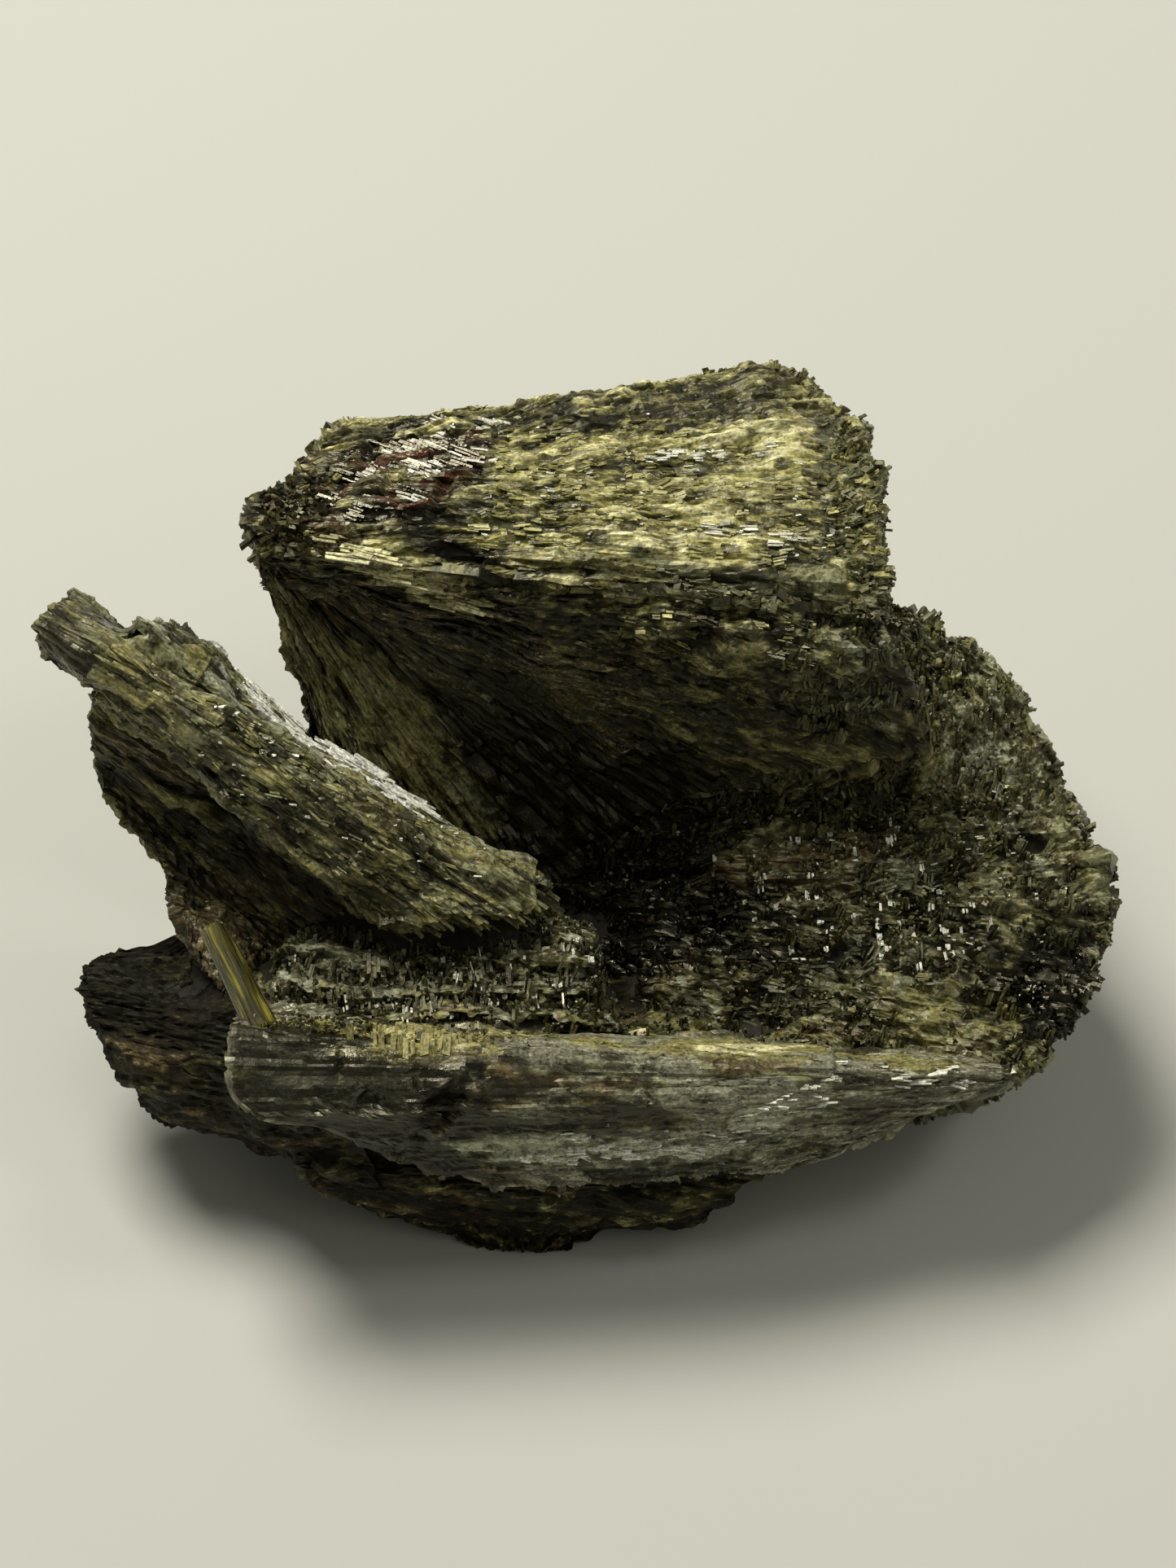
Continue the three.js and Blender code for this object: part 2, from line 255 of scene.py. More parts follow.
def sheafPoint(sheaf, t, s, d):
    # t across the ribs, s from root to rim, d from the front to the back
    rows = np.array(sheaf["rows"], float)
    root, rim = alongCurve(rows[:, :3], t), alongCurve(rows[:, 3:6], t)
    place = np.clip(t, 0, 1) * (len(rows) - 1)
    rootDepth, rimDepth = (np.interp(place, range(len(rows)), rows[:, end]) for end in (6, 7))
    inside = np.clip(s, 0, 1)
    depth = rootDepth + (rimDepth - rootDepth) * inside
    fullness = np.sin(math.pi * np.clip(t, 0.12, 0.88))
    point = root + (rim - root) * s[:, None]
    point[:, 2] += sheaf["crown"] * 4 * inside * (1 - inside) * fullness * (1 - d)
    return point + np.array(sheaf.get("back", (0, 0, -1))) * (depth * d)[:, None]


def unit(vectors):
    return vectors / np.maximum(np.linalg.norm(vectors, axis=1), 1e-9)[:, None]


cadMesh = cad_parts["epidote_fan"].data
cadFaces = [tuple(face.vertices) for face in cadMesh.polygons]
cadTree = BVHTree.FromPolygons([vertex.co.copy() for vertex in cadMesh.vertices], cadFaces)


def standing(points):
    # millimetres outside the solid, negative inside
    found = np.empty(len(points))
    for k, point in enumerate(toWorld(points)):
        spot, normal, _, distance = cadTree.find_nearest(Vector(point))
        found[k] = math.copysign(distance, (Vector(point) - spot).dot(normal))
    return found / mm


# how a face is broken up, in millimetres and degrees
# wander: width, length and how far the fibres stray sideways
# waves: width, length, height and sharpness of strands side by side, from -1 for grooves to 1 for ridges
# laths: width, length, step, roll and pitch of broken strips
# ledge: how far apart ledges lie and how far each stands out at its lower edge
# edges: width, length and size of what wears an edge; worn: length, least and range of what is left of it
# mottle and fleck: width and length of the patches of colour, and of light and dark in them
# deep: how far a dark place lies below a light one; low places are painted darker: painted shade
finishes = {
    "fibrous": {
        "wander": (3, 9, 0.25),
        "waves": [(2.6, 6, 0.22, 0), (1, 3, 0.14, -0.6), (0.4, 1.6, 0.09, 0)],
        "laths": [(0.8, 2.6, 0.15, 9, 3), (0.3, 1, 0.09, 15, 9)], "mottle": (0.7, 3.6), "fleck": (0.28, 0.9),
        "deep": 0.35,
    },
    "glassy": {
        "wander": (3, 12, 0.3),
        "waves": [(2.8, 9, 0.28, 0), (0.8, 4, 0.14, -0.5), (0.36, 2, 0.07, 0)],
        "laths": [(0.7, 3.2, 0.1, 10, 3), (0.3, 1.2, 0.07, 15, 8)], "mottle": (0.8, 3), "fleck": (0.28, 1),
        "deep": 0.3,
    },
    "bladed": {
        "wander": (3, 12, 0.35),
        "waves": [(2.3, 9, 0.34, -0.4), (0.9, 4.5, 0.22, -0.5), (0.38, 2.2, 0.09, -0.3)],
        "laths": [(0.7, 3, 0.13, 11, 4), (0.3, 1, 0.07, 15, 9)], "mottle": (0.7, 3), "fleck": (0.28, 0.9),
        "deep": 0.4,
    },
    "massive": {
        "wander": (4, 9, 0.4),
        "waves": [(2.4, 7, 0.35, -0.5), (0.9, 2.6, 0.18, -0.4), (0.4, 1, 0.1, 0)],
        "laths": [(0.6, 1.8, 0.11, 12, 7), (0.28, 0.6, 0.08, 16, 14)],
        "mottle": (1, 2.4), "fleck": (0.32, 0.7), "deep": 0.4,
    },
    "smooth": {
        "wander": (5, 20, 0.3),
        "waves": [(3.2, 14, 0.12, 0), (0.9, 7, 0.07, -0.5), (0.3, 4, 0.04, 0)],
        "laths": [(2.6, 7, 0.14, 2, 0.6), (0.6, 3, 0.06, 6, 1.5), (0.26, 1.1, 0.03, 9, 4)],
        "mottle": (0.9, 3.2), "fleck": (0.26, 1), "deep": 0.2,
    },
    "blocky": {
        "wander": (2, 4, 0.3), "waves": [(2, 3.5, 0.4, -0.6), (0.8, 1.8, 0.16, -0.4)],
        "laths": [(1, 2.2, 0.3, 10, 8), (0.36, 1.1, 0.08, 12, 6)], "mottle": (0.9, 1.6), "fleck": (0.35, 0.8),
        "deep": 0.5,
    },
    "tufted": {
        "wander": (2, 3, 0.4),
        "waves": [(2.6, 3.6, 0.45, -0.5), (1.2, 1.6, 0.3, -0.6), (0.5, 0.8, 0.15, -0.3)],
        "laths": [(0.4, 0.7, 0.08, 18, 16), (0.26, 0.5, 0.05, 16, 12)],
        "mottle": (0.7, 1), "fleck": (0.4, 0.6), "deep": 0.55,
    },
    "pitted": {
        "wander": (3, 6, 0.4),
        "waves": [(2.2, 4.5, 0.55, -0.6), (1, 2, 0.3, -0.5), (0.4, 0.8, 0.12, -0.3)],
        "laths": [(0.6, 1.6, 0.1, 12, 7), (0.28, 0.6, 0.06, 14, 12)], "mottle": (0.8, 2),
        "fleck": (0.32, 0.7), "deep": 0.6,
    },
    "ledged": {
        "wander": (3, 6, 0.3), "waves": [(1.2, 2, 0.12, -0.5), (0.4, 0.6, 0.1, -0.3)], "ledge": (1.9, 0.9),
        "edges": [(1.5, 0.9, 0.45), (0.6, 0.3, 0.15)], "worn": (1.6, 0.7, 0.5),
        "laths": [(0.5, 0.6, 0.12, 14, 10)], "mottle": (0.8, 1.5), "fleck": (0.35, 0.6), "deep": 0.45,
    },
    "ends": {
        "wander": (2, 2, 0.3), "waves": [(1.6, 1.8, 0.3, -0.6), (0.7, 0.8, 0.16, -0.5)],
        "laths": [(0.7, 0.8, 0.2, 10, 10), (0.3, 0.4, 0.07, 14, 14)], "mottle": (1.2, 1.4),
        "fleck": (0.4, 0.5), "deep": 0.5,
    },
}
# across, along, deep: the steps of the grid over a sheaf
# feel, agree: how far it feels for the solid, and how well their faces have to agree
# deepest, hidden: how deep its points may lie before they stay put, or count as hidden
# margin, kept: rings of points spared next to what shows, and the share of hidden faces kept
# passes, jump: how often neighbours are brought together, and how closely
# gap, sheet: the gap between faces on their map, and its edge and width; endGrain: finer grain on broken ends
shell = {
    "across": 0.13, "along": 0.26, "deep": 0.32, "feel": 1.6, "agree": 0.3, "deepest": 1.3, "hidden": 1.3,
    "margin": 4, "kept": 0.05, "passes": 6, "jump": 0.04, "gap": 0.6, "sheet": (0.002, 0.996),
    "endGrain": 20,
}
uneven = [(7, 0.4), (2.9, 0.11)]  # size and height of the lumps that all sheaves share
# how height, flecks, steps and lumps shift a colour from its middle, and how laths shine; height and lumps
# paint low places darker: painted shade
# broad, share: width and length of the larger patches in the draw of colours, and how much they count;
# stray: how much flecks do
tone = {
    "middle": 0.5, "height": 0.75, "fleck": 0.6, "step": 0.3, "lump": 0.35, "shineFrom": 0.8,
    "shineOver": 0.1, "dullest": 0.55, "broad": (3, 5), "share": 0.5, "stray": 0.25,
}
# uneven, long: how widths and lengths vary; drift: how far strips are out of step, in lengths
# roll: the furthest a strip rolls; pitch: the range of its pitch and the part of that which dips; both as
# multiples of what its laths say
strip = {"uneven": 0.35, "long": (0.55, 1.6), "drift": 9, "roll": 1.5, "pitch": (1.6, 0.6)}


def unevenness(points, sheaf):
    # millimetres that a sheaf swells or sinks at each point
    holes = [depth * oval(points, patch) for depth, patch in sheaf.get("holes", [])]
    return sum(height * lumps(points, size) for size, height in uneven) * sheaf.get("lumpy", 1) - sum(holes)


def strands(across, along, width, length, rng):
    # strands side by side whose height wanders along them: smooth, from -1 to 1
    x = across / width + rng.uniform(0, 1)
    column = np.floor(x).astype(int)
    share = eased(x - column)
    column -= column.min()
    y = (along - along.min()) / length
    drift = 40  # how far strands may be out of step
    start = rng.uniform(0, drift, column.max() + 2)
    table = rng.uniform(-1, 1, (len(start), int(y.max()) + drift + 3))
    height = np.zeros(len(x))
    for side, weight in ((0, 1 - share), (1, share)):
        place = y + start[column + side]
        row = place.astype(int)
        rise = eased(place - row)
        height += weight * (table[column + side, row] * (1 - rise) + table[column + side, row + 1] * rise)
    return height


def laths(across, along, width, length, rng):
    # strips of uneven width, each broken into uneven lengths: the place in a strip, and its random numbers
    across = across - across.min()
    enough = int(2.2 * across.max() / width) + 8  # more strips than there is room for
    edges = np.cumsum(width * rng.lognormal(0, strip["uneven"], enough))
    column = np.searchsorted(edges, across + edges[0], side="right")
    middle = (edges[column] + edges[column - 1]) / 2 - edges[0]
    long = length * rng.uniform(*strip["long"], len(edges))
    shift = rng.uniform(0, strip["drift"] * length, len(edges))
    place = (along - along.min() + shift[column]) / long[column]
    row = np.floor(place).astype(int)
    table = rng.random((len(edges), row.max() + 1, 3))
    return across - middle, (place - row - 0.5) * long[column], table[column, row]


def ranked(values):
    # the same order, spread evenly from 0 to 1
    order = np.empty(len(values))
    order[np.argsort(values)] = np.arange(len(values))
    return (order + 0.5) / len(values)


def broken(across, along, finish, rng):
    # how far a face stands in or out, the draw and level of its colours, and where a lath shines
    look = finishes[finish]
    width, length, stray = look["wander"]
    across = across + stray * strands(across, along, width, length, rng)
    height = np.zeros(len(across))
    for width, length, rise, sharp in look["waves"]:
        n = strands(across, along, width, length, rng)
        height += rise * ((1 - abs(sharp)) * n + sharp * (1 - 2.5 * np.abs(n)))
    if "ledge" in look:
        pitch, rise = look["ledge"]
        edge = across
        for width, length, stray in look["edges"]:
            edge = edge + stray * strands(across, along, width, length, rng)
        length, least, more = look["worn"]
        left = least + more * strands(across, along, pitch, length, rng)
        height += rise * left * ((edge / pitch) % 1 - 0.5)
    steps, shine = np.zeros(len(across)), np.zeros(len(across))
    for width, length, rise, roll, pitch in look["laths"]:
        x, y, r = laths(across, along, width, length, rng)
        rolled = x * np.tan(np.radians(roll * (2 * r[:, 1] - 1) * strip["roll"]))
        height += rise * (2 * r[:, 0] - 1) + rolled
        height += y * np.tan(np.radians(pitch * (strip["pitch"][0] * r[:, 2] - strip["pitch"][1])))
        steps += r[:, 1] - 0.5
        shine = np.maximum(shine, eased((r[:, 2] - tone["shineFrom"]) / tone["shineOver"]))
    mottle = strands(across, along, *look["mottle"], rng)
    mottle = mottle + tone["share"] * strands(across, along, *tone["broad"], rng)
    draw = ranked(mottle + tone["stray"] * strands(across, along, *look["fleck"], rng))
    # low places painted darker and high ones lighter: painted shade
    level = tone["middle"] + tone["height"] * height / look["deep"] + tone["step"] * steps
    level += tone["fleck"] * strands(across, along, *look["fleck"], rng)
    return height, draw, level, shine


def evenRows(sheaf, spacing):
    # values of t that lie the same distance apart across the ribs
    samples, measured = 400, 0.65
    t = np.linspace(0, 1, samples)
    line = sheafPoint(sheaf, t, np.full(samples, measured), np.zeros(samples))
    run = np.r_[0, np.cumsum(np.linalg.norm(np.diff(line, axis=0), axis=1))]
    across = np.linspace(0, run[-1], math.ceil(run[-1] / spacing) + 1)
    return np.interp(across, run, t), across


def feel(points, normals):
    # how far out along its normal each point meets the solid
    found = np.zeros(len(points))
    reach = shell["feel"]
    starts, inward = toWorld(points + normals * reach), toWorld(-normals) - toWorld(np.zeros(3))
    for k, (start, towards) in enumerate(zip(starts, inward)):
        towards = Vector(towards).normalized()
        spot, normal, _, distance = cadTree.ray_cast(Vector(start), towards, 2 * reach * mm)
        found[k] = np.nan if spot is None or normal.dot(towards) > -shell["agree"] else reach - distance / mm
    return found


# each face of a sheaf holds one coordinate at one end
faces = {
    "front": ("d", 0), "back": ("d", 1), "near": ("t", 0), "far": ("t", 1), "rim": ("s", 1), "root": ("s", 0),
}


def shellGrids(sheaf):
    # six grids over the faces of a sheaf that share their edge points, and the millimetres along t, s and d
    coarse = sheaf.get("coarse", 1)
    t, across = evenRows(sheaf, shell["across"] * coarse)
    ends = sheafPoint(sheaf, np.full(3, 0.5), np.array([0, 1, 1]), np.array([0, 0, 1]))
    length, depth = np.linalg.norm(ends[1] - ends[0]), np.linalg.norm(ends[2] - ends[1])
    s = np.linspace(0, 1, math.ceil(length / (shell["along"] * coarse)) + 1)
    d = np.linspace(0, 1, math.ceil(depth / (shell["deep"] * coarse)) + 1)
    size = (len(t), len(s), len(d))
    codes, quads = {}, []
    for face, (held, end) in faces.items():
        a, b = {"d": (0, 1), "t": (1, 2), "s": (0, 2)}[held]
        index = [None] * 3
        index[a], index[b] = np.meshgrid(np.arange(size[a]), np.arange(size[b]), indexing="ij")
        last = 3 - a - b
        index[last] = np.full_like(index[a], end * (size[last] - 1))
        code = np.ravel_multi_index(index, size)
        quad = np.stack([code[:-1, :-1], code[1:, :-1], code[1:, 1:], code[:-1, 1:]], -1).reshape(-1, 4)
        quads.append(quad[:, ::-1] if (end == 0) != (held == "s") else quad)
        codes[face] = code.ravel()
    used = np.unique(np.concatenate(list(codes.values())))
    own = {face: np.searchsorted(used, code) for face, code in codes.items()}
    quads = {face: np.searchsorted(used, quad) for face, quad in zip(faces, quads)}
    ti, si, di = np.unravel_index(used, size)
    points = sheafPoint(sheaf, t[ti], s[si], d[di])
    if enclosed(points, np.concatenate(list(quads.values()))) < 0:
        quads = {face: quad[:, ::-1] for face, quad in quads.items()}
    return points, own, quads, (across[ti], s[si] * length, d[di] * depth)


def enclosed(points, quads):
    # six times the volume inside a closed mesh
    a, b, c, e = (points[quads[:, k]] - points.mean(0) for k in range(4))
    return (np.cross(c - a, e - b) * (a + b + c + e) / 4).sum()


def pointNormals(points, quads):
    a, b, c, e = (points[quads[:, k]] for k in range(4))
    facing, normals = np.cross(c - a, e - b), np.zeros_like(points)
    for k in range(4):
        np.add.at(normals, quads[:, k], facing)
    return unit(normals)


def growShell(name, sheaf, rng):
    # the closed, finely broken surface of one sheaf
    points, own, quads, (x, y, z) = shellGrids(sheaf)
    every = np.concatenate(list(quads.values()))
    normals = pointNormals(points, every)
    raised = feel(points, normals)
    sunk = np.isnan(raised) | (standing(points) < -shell["deepest"])
    raised = steadied(np.nan_to_num(raised), every)
    points = points + normals * np.where(sunk, 0, raised)[:, None]
    rough = unevenness(points, sheaf)
    sideways = x - sheaf.get("lean", 0) * (1 - y / y.max()) ** 2
    tint, gloss, shift = np.zeros_like(points), np.zeros(len(points)), normals * rough[:, None]
    fibre, sheet = [], []
    long, wide, deep = y.max() + shell["gap"], x.max() + shell["gap"], z.max() + shell["gap"]
    corners = {"front": (0, 0), "back": (0, wide), "near": (0, 2 * wide), "far": (0, 2 * wide + deep),
               "root": (long, 0), "rim": (long, wide)}
    for face, (held, _) in faces.items():
        here, quad = own[face], quads[face]
        over, down = {"d": (sideways, y), "t": (z, y), "s": (x, z)}[held]
        height, draw, level, shine = finished(sheaf, held, points[here], over[here], down[here], rng)
        shift[here] += pointNormals(points, quad)[here] * height[:, None]
        # lumps painted lighter and holes darker, plus the sheaf's painted light and shade
        level = level + tone["lump"] * rough[here] + paler(points[here], sheaf)
        tint[here], dull = coloured(points[here], sheaf["shades"], draw, level)
        gloss[here] = dull * (tone["dullest"] + (1 - tone["dullest"]) * shine)
        flat = np.stack({"d": (y, sideways), "t": (y, z), "s": (shell["endGrain"] * z, x)}[held], -1)
        fibre.append(flat[quad].reshape(-1, 2))
        flat = np.stack({"d": (y, x), "t": (y, z), "s": (z, x)}[held], -1) + corners[face]
        sheet.append(flat[quad].reshape(-1, 2) / (long + deep, 2 * wide + 2 * deep))
    shift[sunk] = 0
    edge, width = shell["sheet"]
    uvs = {"fibre": np.concatenate(fibre), "OFBake": edge + width * np.concatenate(sheet)}
    piece = meshPiece(name, points + shift, every.ravel(), np.arange(0, every.size, 4), uvs, tint, gloss)
    simplifyHidden(piece, wellInside(standing(points + shift) < -shell["hidden"], every))
    return piece


def finished(sheaf, held, points, over, down, rng):
    # how one face is broken up, with its own finish and those of its patches
    finish = {"s": "ends", "t": sheaf.get("side", "fibrous"), "d": sheaf["finish"]}[held]
    height, *rest = broken(over, down, finish, rng)
    for other, patch in sheaf.get("patches", []):
        share = oval(points, patch) * (held != "s")
        raised, *made = broken(over, down, other, rng)
        height = height + (raised - height) * share
        rest = [np.where(share > 0.5, new, old) for new, old in zip(made, rest)]
    return height, *rest


def meshPiece(name, points, corners, starts, uvs, tint, gloss):
    # a mesh with flat faces, from the corners of all faces and where each face starts among them
    points = toWorld(points)
    points[:, 2] = np.maximum(points[:, 2], 0)  # cut flat where the cluster lies
    mesh = bpy.data.meshes.new(name)
    mesh.vertices.add(len(points))
    mesh.loops.add(len(corners))
    mesh.polygons.add(len(starts))
    fill(mesh.vertices, "co", points)
    fill(mesh.loops, "vertex_index", corners, np.int32)
    fill(mesh.polygons, "loop_start", starts, np.int32)
    mesh.update(calc_edges=True)
    mesh.shade_flat()
    for layer, place in uvs.items():
        fill(mesh.uv_layers.new(name=layer).uv, "vector", place)
    colour = mesh.attributes.new("tint", "FLOAT_COLOR", "POINT")
    fill(colour.data, "color", np.c_[tint, np.ones(len(tint))])
    shine = mesh.attributes.new("gloss", "FLOAT", "POINT")
    fill(shine.data, "value", gloss)
    return placed(name, mesh)


def steadied(values, quads):
    # no point differs much from those around it
    for _ in range(shell["passes"]):
        total, count = np.zeros(len(values)), np.zeros(len(values))
        np.add.at(total, quads.ravel(), np.repeat(values[quads].mean(1), 4))
        np.add.at(count, quads.ravel(), 1)
        values = np.clip(values, total / count - shell["jump"], total / count + shell["jump"])
    return values


def wellInside(hidden, quads):
    # without the rings of points next to the ones that show
    for _ in range(shell["margin"]):
        allHidden = hidden[quads].all(1)
        hidden = hidden.copy()
        np.logical_and.at(hidden, quads.ravel(), np.repeat(allHidden, 4))
    return hidden


def simplifyHidden(piece, hidden):
    # fewer faces where a shell runs inside the solid
    group = piece.vertex_groups.new(name="hidden")
    group.add(np.flatnonzero(hidden).tolist(), 1, "REPLACE")
    pick(piece)
    fewer = piece.modifiers.new("fewer", "DECIMATE")
    fewer.vertex_group = "hidden"
    fewer.ratio = 1 - (1 - shell["kept"]) * hidden.mean()
    bpy.ops.object.modifier_apply(modifier=fewer.name)
    piece.vertex_groups.clear()


# directions in the display frame: the way a flat side looks to glint under the key light, and along the steps
sparkling = (-0.18, 0.51, 0.84)
lying = (0.97, 0, 0.21)
# all in the near-white of a glint: painted highlight
allPaintedGlint = [("silver", 1)]


def brush(width, long, group, cover, lift, spread, **more):
    # width and length of one crystal, how wide a group of them is, how many layers they make, and how far
    # groups stray in height and, in degrees, in direction
    # along: the way they run, if not the fibre's, or straight out on a broken end unless they are fibrous
    # facing: where their flat side looks, if not outward; pitch: degrees they stand up; proud: how far out
    # shades: their own colours; how much lighter they are painted: painted light; polished: all are glassy
    return dict(width=width, long=long, group=group, cover=cover, lift=lift, spread=spread, **more)


# crystals that face the lamps to glint are also coloured near-white: painted highlights on top of their real
# glints
brushes = {
    "needles": brush(0.22, 0.9, 0.6, 1.55, 0.22, 14, along=(0.15, 0.75, 0.55)),
    "radial": brush(0.24, 1.3, 0.8, 1, 0.2, 12, pitch=24),
    "drusy": brush(0.34, 0.7, 0.5, 2.2, 0.15, 24, pitch=45),
    "grains": brush(0.26, 0.34, 0.4, 2.2, 0.12, 30),
    "stubs": brush(0.55, 1.2, 0.8, 2.2, 0.2, 16),
    "palisade": brush(0.26, 1, 0.6, 2.4, 0.3, 10, along=(0.05, -0.92, 0.4), facing=(-0.1, 0.45, 0.88)),
    "columns": brush(0.55, 1.3, 1.6, 3, 0.1, 5, along=(0.02, 1, 0.05), facing=(0, 0.3, 1)),
    "streaks": brush(0.22, 1.9, 1.1, 1.5, 0.15, 5, along=(0.9, -0.29, 0.37), facing=sparkling, polished=True,
                     shades=[("glass", 0.35), ("silver", 0.4), ("garnet", 0.25)]),
    "chips": brush(0.18, 0.9, 0.5, 0.6, 0.1, 9, facing=(-0.15, 0.42, 0.9)),
    # flakes are painted much lighter than their sheaf: painted light on a flake in the overhang's shade
    "flakes": brush(0.24, 2, 0.7, 2.6, 0.15, 5, proud=0.35, facing=sparkling, pale=0.6),
    "frays": brush(0.34, 2, 0.9, 2.4, 0.3, 6, pale=0.05, fibrous=True),
    "dashes": brush(0.16, 1.1, 0.3, 0.55, 0.05, 5, proud=0.22, along=lying, facing=sparkling,
                    shades=allPaintedGlint),
    "silvery": brush(0.28, 5, 0.6, 1.8, 0.04, 2, proud=0.15, facing=(0.33, 0.28, 0.9), shades=allPaintedGlint,
                     polished=True),
    "sparks": brush(0.13, 0.6, 0.25, 0.12, 0.05, 7, along=lying, facing=sparkling, shades=allPaintedGlint),
    "sprinkle": brush(0.13, 0.4, 0.2, 0.04, 0.06, 9, along=lying, facing=sparkling, shades=allPaintedGlint),
    "glints": brush(0.2, 0.6, 0.3, 0.11, 0.12, 6, proud=0.2, along=(0.1, -0.85, 0.52), facing=sparkling,
                    shades=allPaintedGlint),
}
# tries: places to choose from for groups
# snap, near: how far the face of a sheaf may lie from the solid to be put back on it, and to be used
# cut: how steeply the ends of crystals are cut
# proudest, above, below: how far tips may stand out, as a share of the length and in millimetres, or lie in
# glassy, rest: how many are glassy, and how glassy the rest are; slide, cell: where one lies on the two maps
stand = {
    "tries": 6000, "snap": 1.5, "near": 1.3, "cut": 0.5, "proudest": 0.25, "above": 0.45, "below": 0.8,
    "glassy": 0.25, "rest": 0.6, "slide": 40, "cell": (0.05, 0.9),
}
# groupWide, groupLong, long: least and most of what a brush says, for a group and for one crystal
# thick: least and most of its own width; wide: how much widths vary
# beside, rise, slide: strays in widths, lifts and lengths; sunk: how many widths it sinks
# turn, tilt: strays of its direction and of its flat side, by the spread
vary = {
    "groupWide": (0.5, 1.5), "groupLong": (0.5, 1.4), "long": (0.5, 1.1), "thick": (0.6, 1), "wide": 0.3,
    "beside": 0.15, "rise": 0.3, "slide": 0.18, "sunk": 0.25, "turn": 0.3, "tilt": 0.5,
}
# clouds, specks: sizes in the draw of colours; speckShare, chance: how much specks and chance count in it
# middle: the usual level; rise, group, own, lump: how much height, its group, chance and lumps shift it;
# height paints sunk crystals darker: painted shade
hue = {
    "clouds": 3.1, "specks": 1.3, "speckShare": 0.6, "chance": 0.9, "middle": 0.3, "rise": 0.3,
    "group": 0.25, "own": 0.25, "lump": 0.2, "lumpSize": 2.2,
}


def faceFrame(sheaf, face, t, s, d):
    # fibre and outward directions at points of a face, and how many square millimetres a step over it is
    held, end = faces[face]
    step = 0.01
    middle = np.clip(t, step, 1 - step)
    overS = sheafPoint(sheaf, t, s + step, d) - sheafPoint(sheaf, t, s - step, d)
    overT = sheafPoint(sheaf, middle + step, s, d) - sheafPoint(sheaf, middle - step, s, d)
    overD = sheafPoint(sheaf, t, s, d + step) - sheafPoint(sheaf, t, s, d - step)
    steps = {"t": (overT, overD, overS), "s": (overS, overT, overD), "d": (overD, overT, overS)}
    towards, beside, along = steps[held]
    out = np.cross(along, beside)
    area = np.linalg.norm(out, axis=1) / (2 * step) ** 2
    out *= np.sign((out * towards).sum(1, keepdims=True)) * (1 if end else -1)
    return unit(overS), unit(out), area


def groupsOn(sheaf, look, patch, face, rng):
    # where groups stand on a face, spread evenly in a patch, the ways they point and which lie near the solid
    held, end = faces[face]
    tries = stand["tries"]
    p, q, fixed = rng.random(tries), rng.random(tries), np.full(tries, float(end))
    t, s, d = {"d": (p, q, fixed), "t": (fixed, q, p), "s": (p, fixed, q)}[held]
    area = faceFrame(sheaf, face, t, s, d)[2]
    if patch:
        area = area * oval(sheafPoint(sheaf, t, s, d), patch)
    count = int(look["cover"] * area.mean() / (look["group"] * look["long"])) + 1
    chosen = rng.choice(tries, size=count, p=area / area.sum())
    t, s, d = t[chosen], s[chosen], d[chosen]
    fibre, out, _ = faceFrame(sheaf, face, t, s, d)
    here = sheafPoint(sheaf, t, s, d)
    depth = standing(here)
    here = here - out * np.clip(depth, -stand["snap"], stand["snap"])[:, None]
    rise = unevenness(here, sheaf) + look["lift"] * rng.uniform(-1, 1, count) + look.get("proud", 0)
    here = here + out * rise[:, None]
    axis = fibre if held != "s" or "fibrous" in look else out
    if "along" in look:
        axis = unit(np.tile(look["along"], (count, 1)))
    if "pitch" in look:
        pitch = math.radians(look["pitch"])
        axis = axis * math.cos(pitch) + out * math.sin(pitch)
    facing = unit(np.tile(look["facing"], (count, 1))) if "facing" in look else out
    stray = math.radians(look["spread"])
    axis = unit(axis + rng.normal(0, stray, (count, 3)))
    facing = unit(facing + rng.normal(0, stray, (count, 3)))
    return here, out, axis, facing, (np.abs(depth) < stand["near"]) & (toWorld(here)[:, 2] > mm)


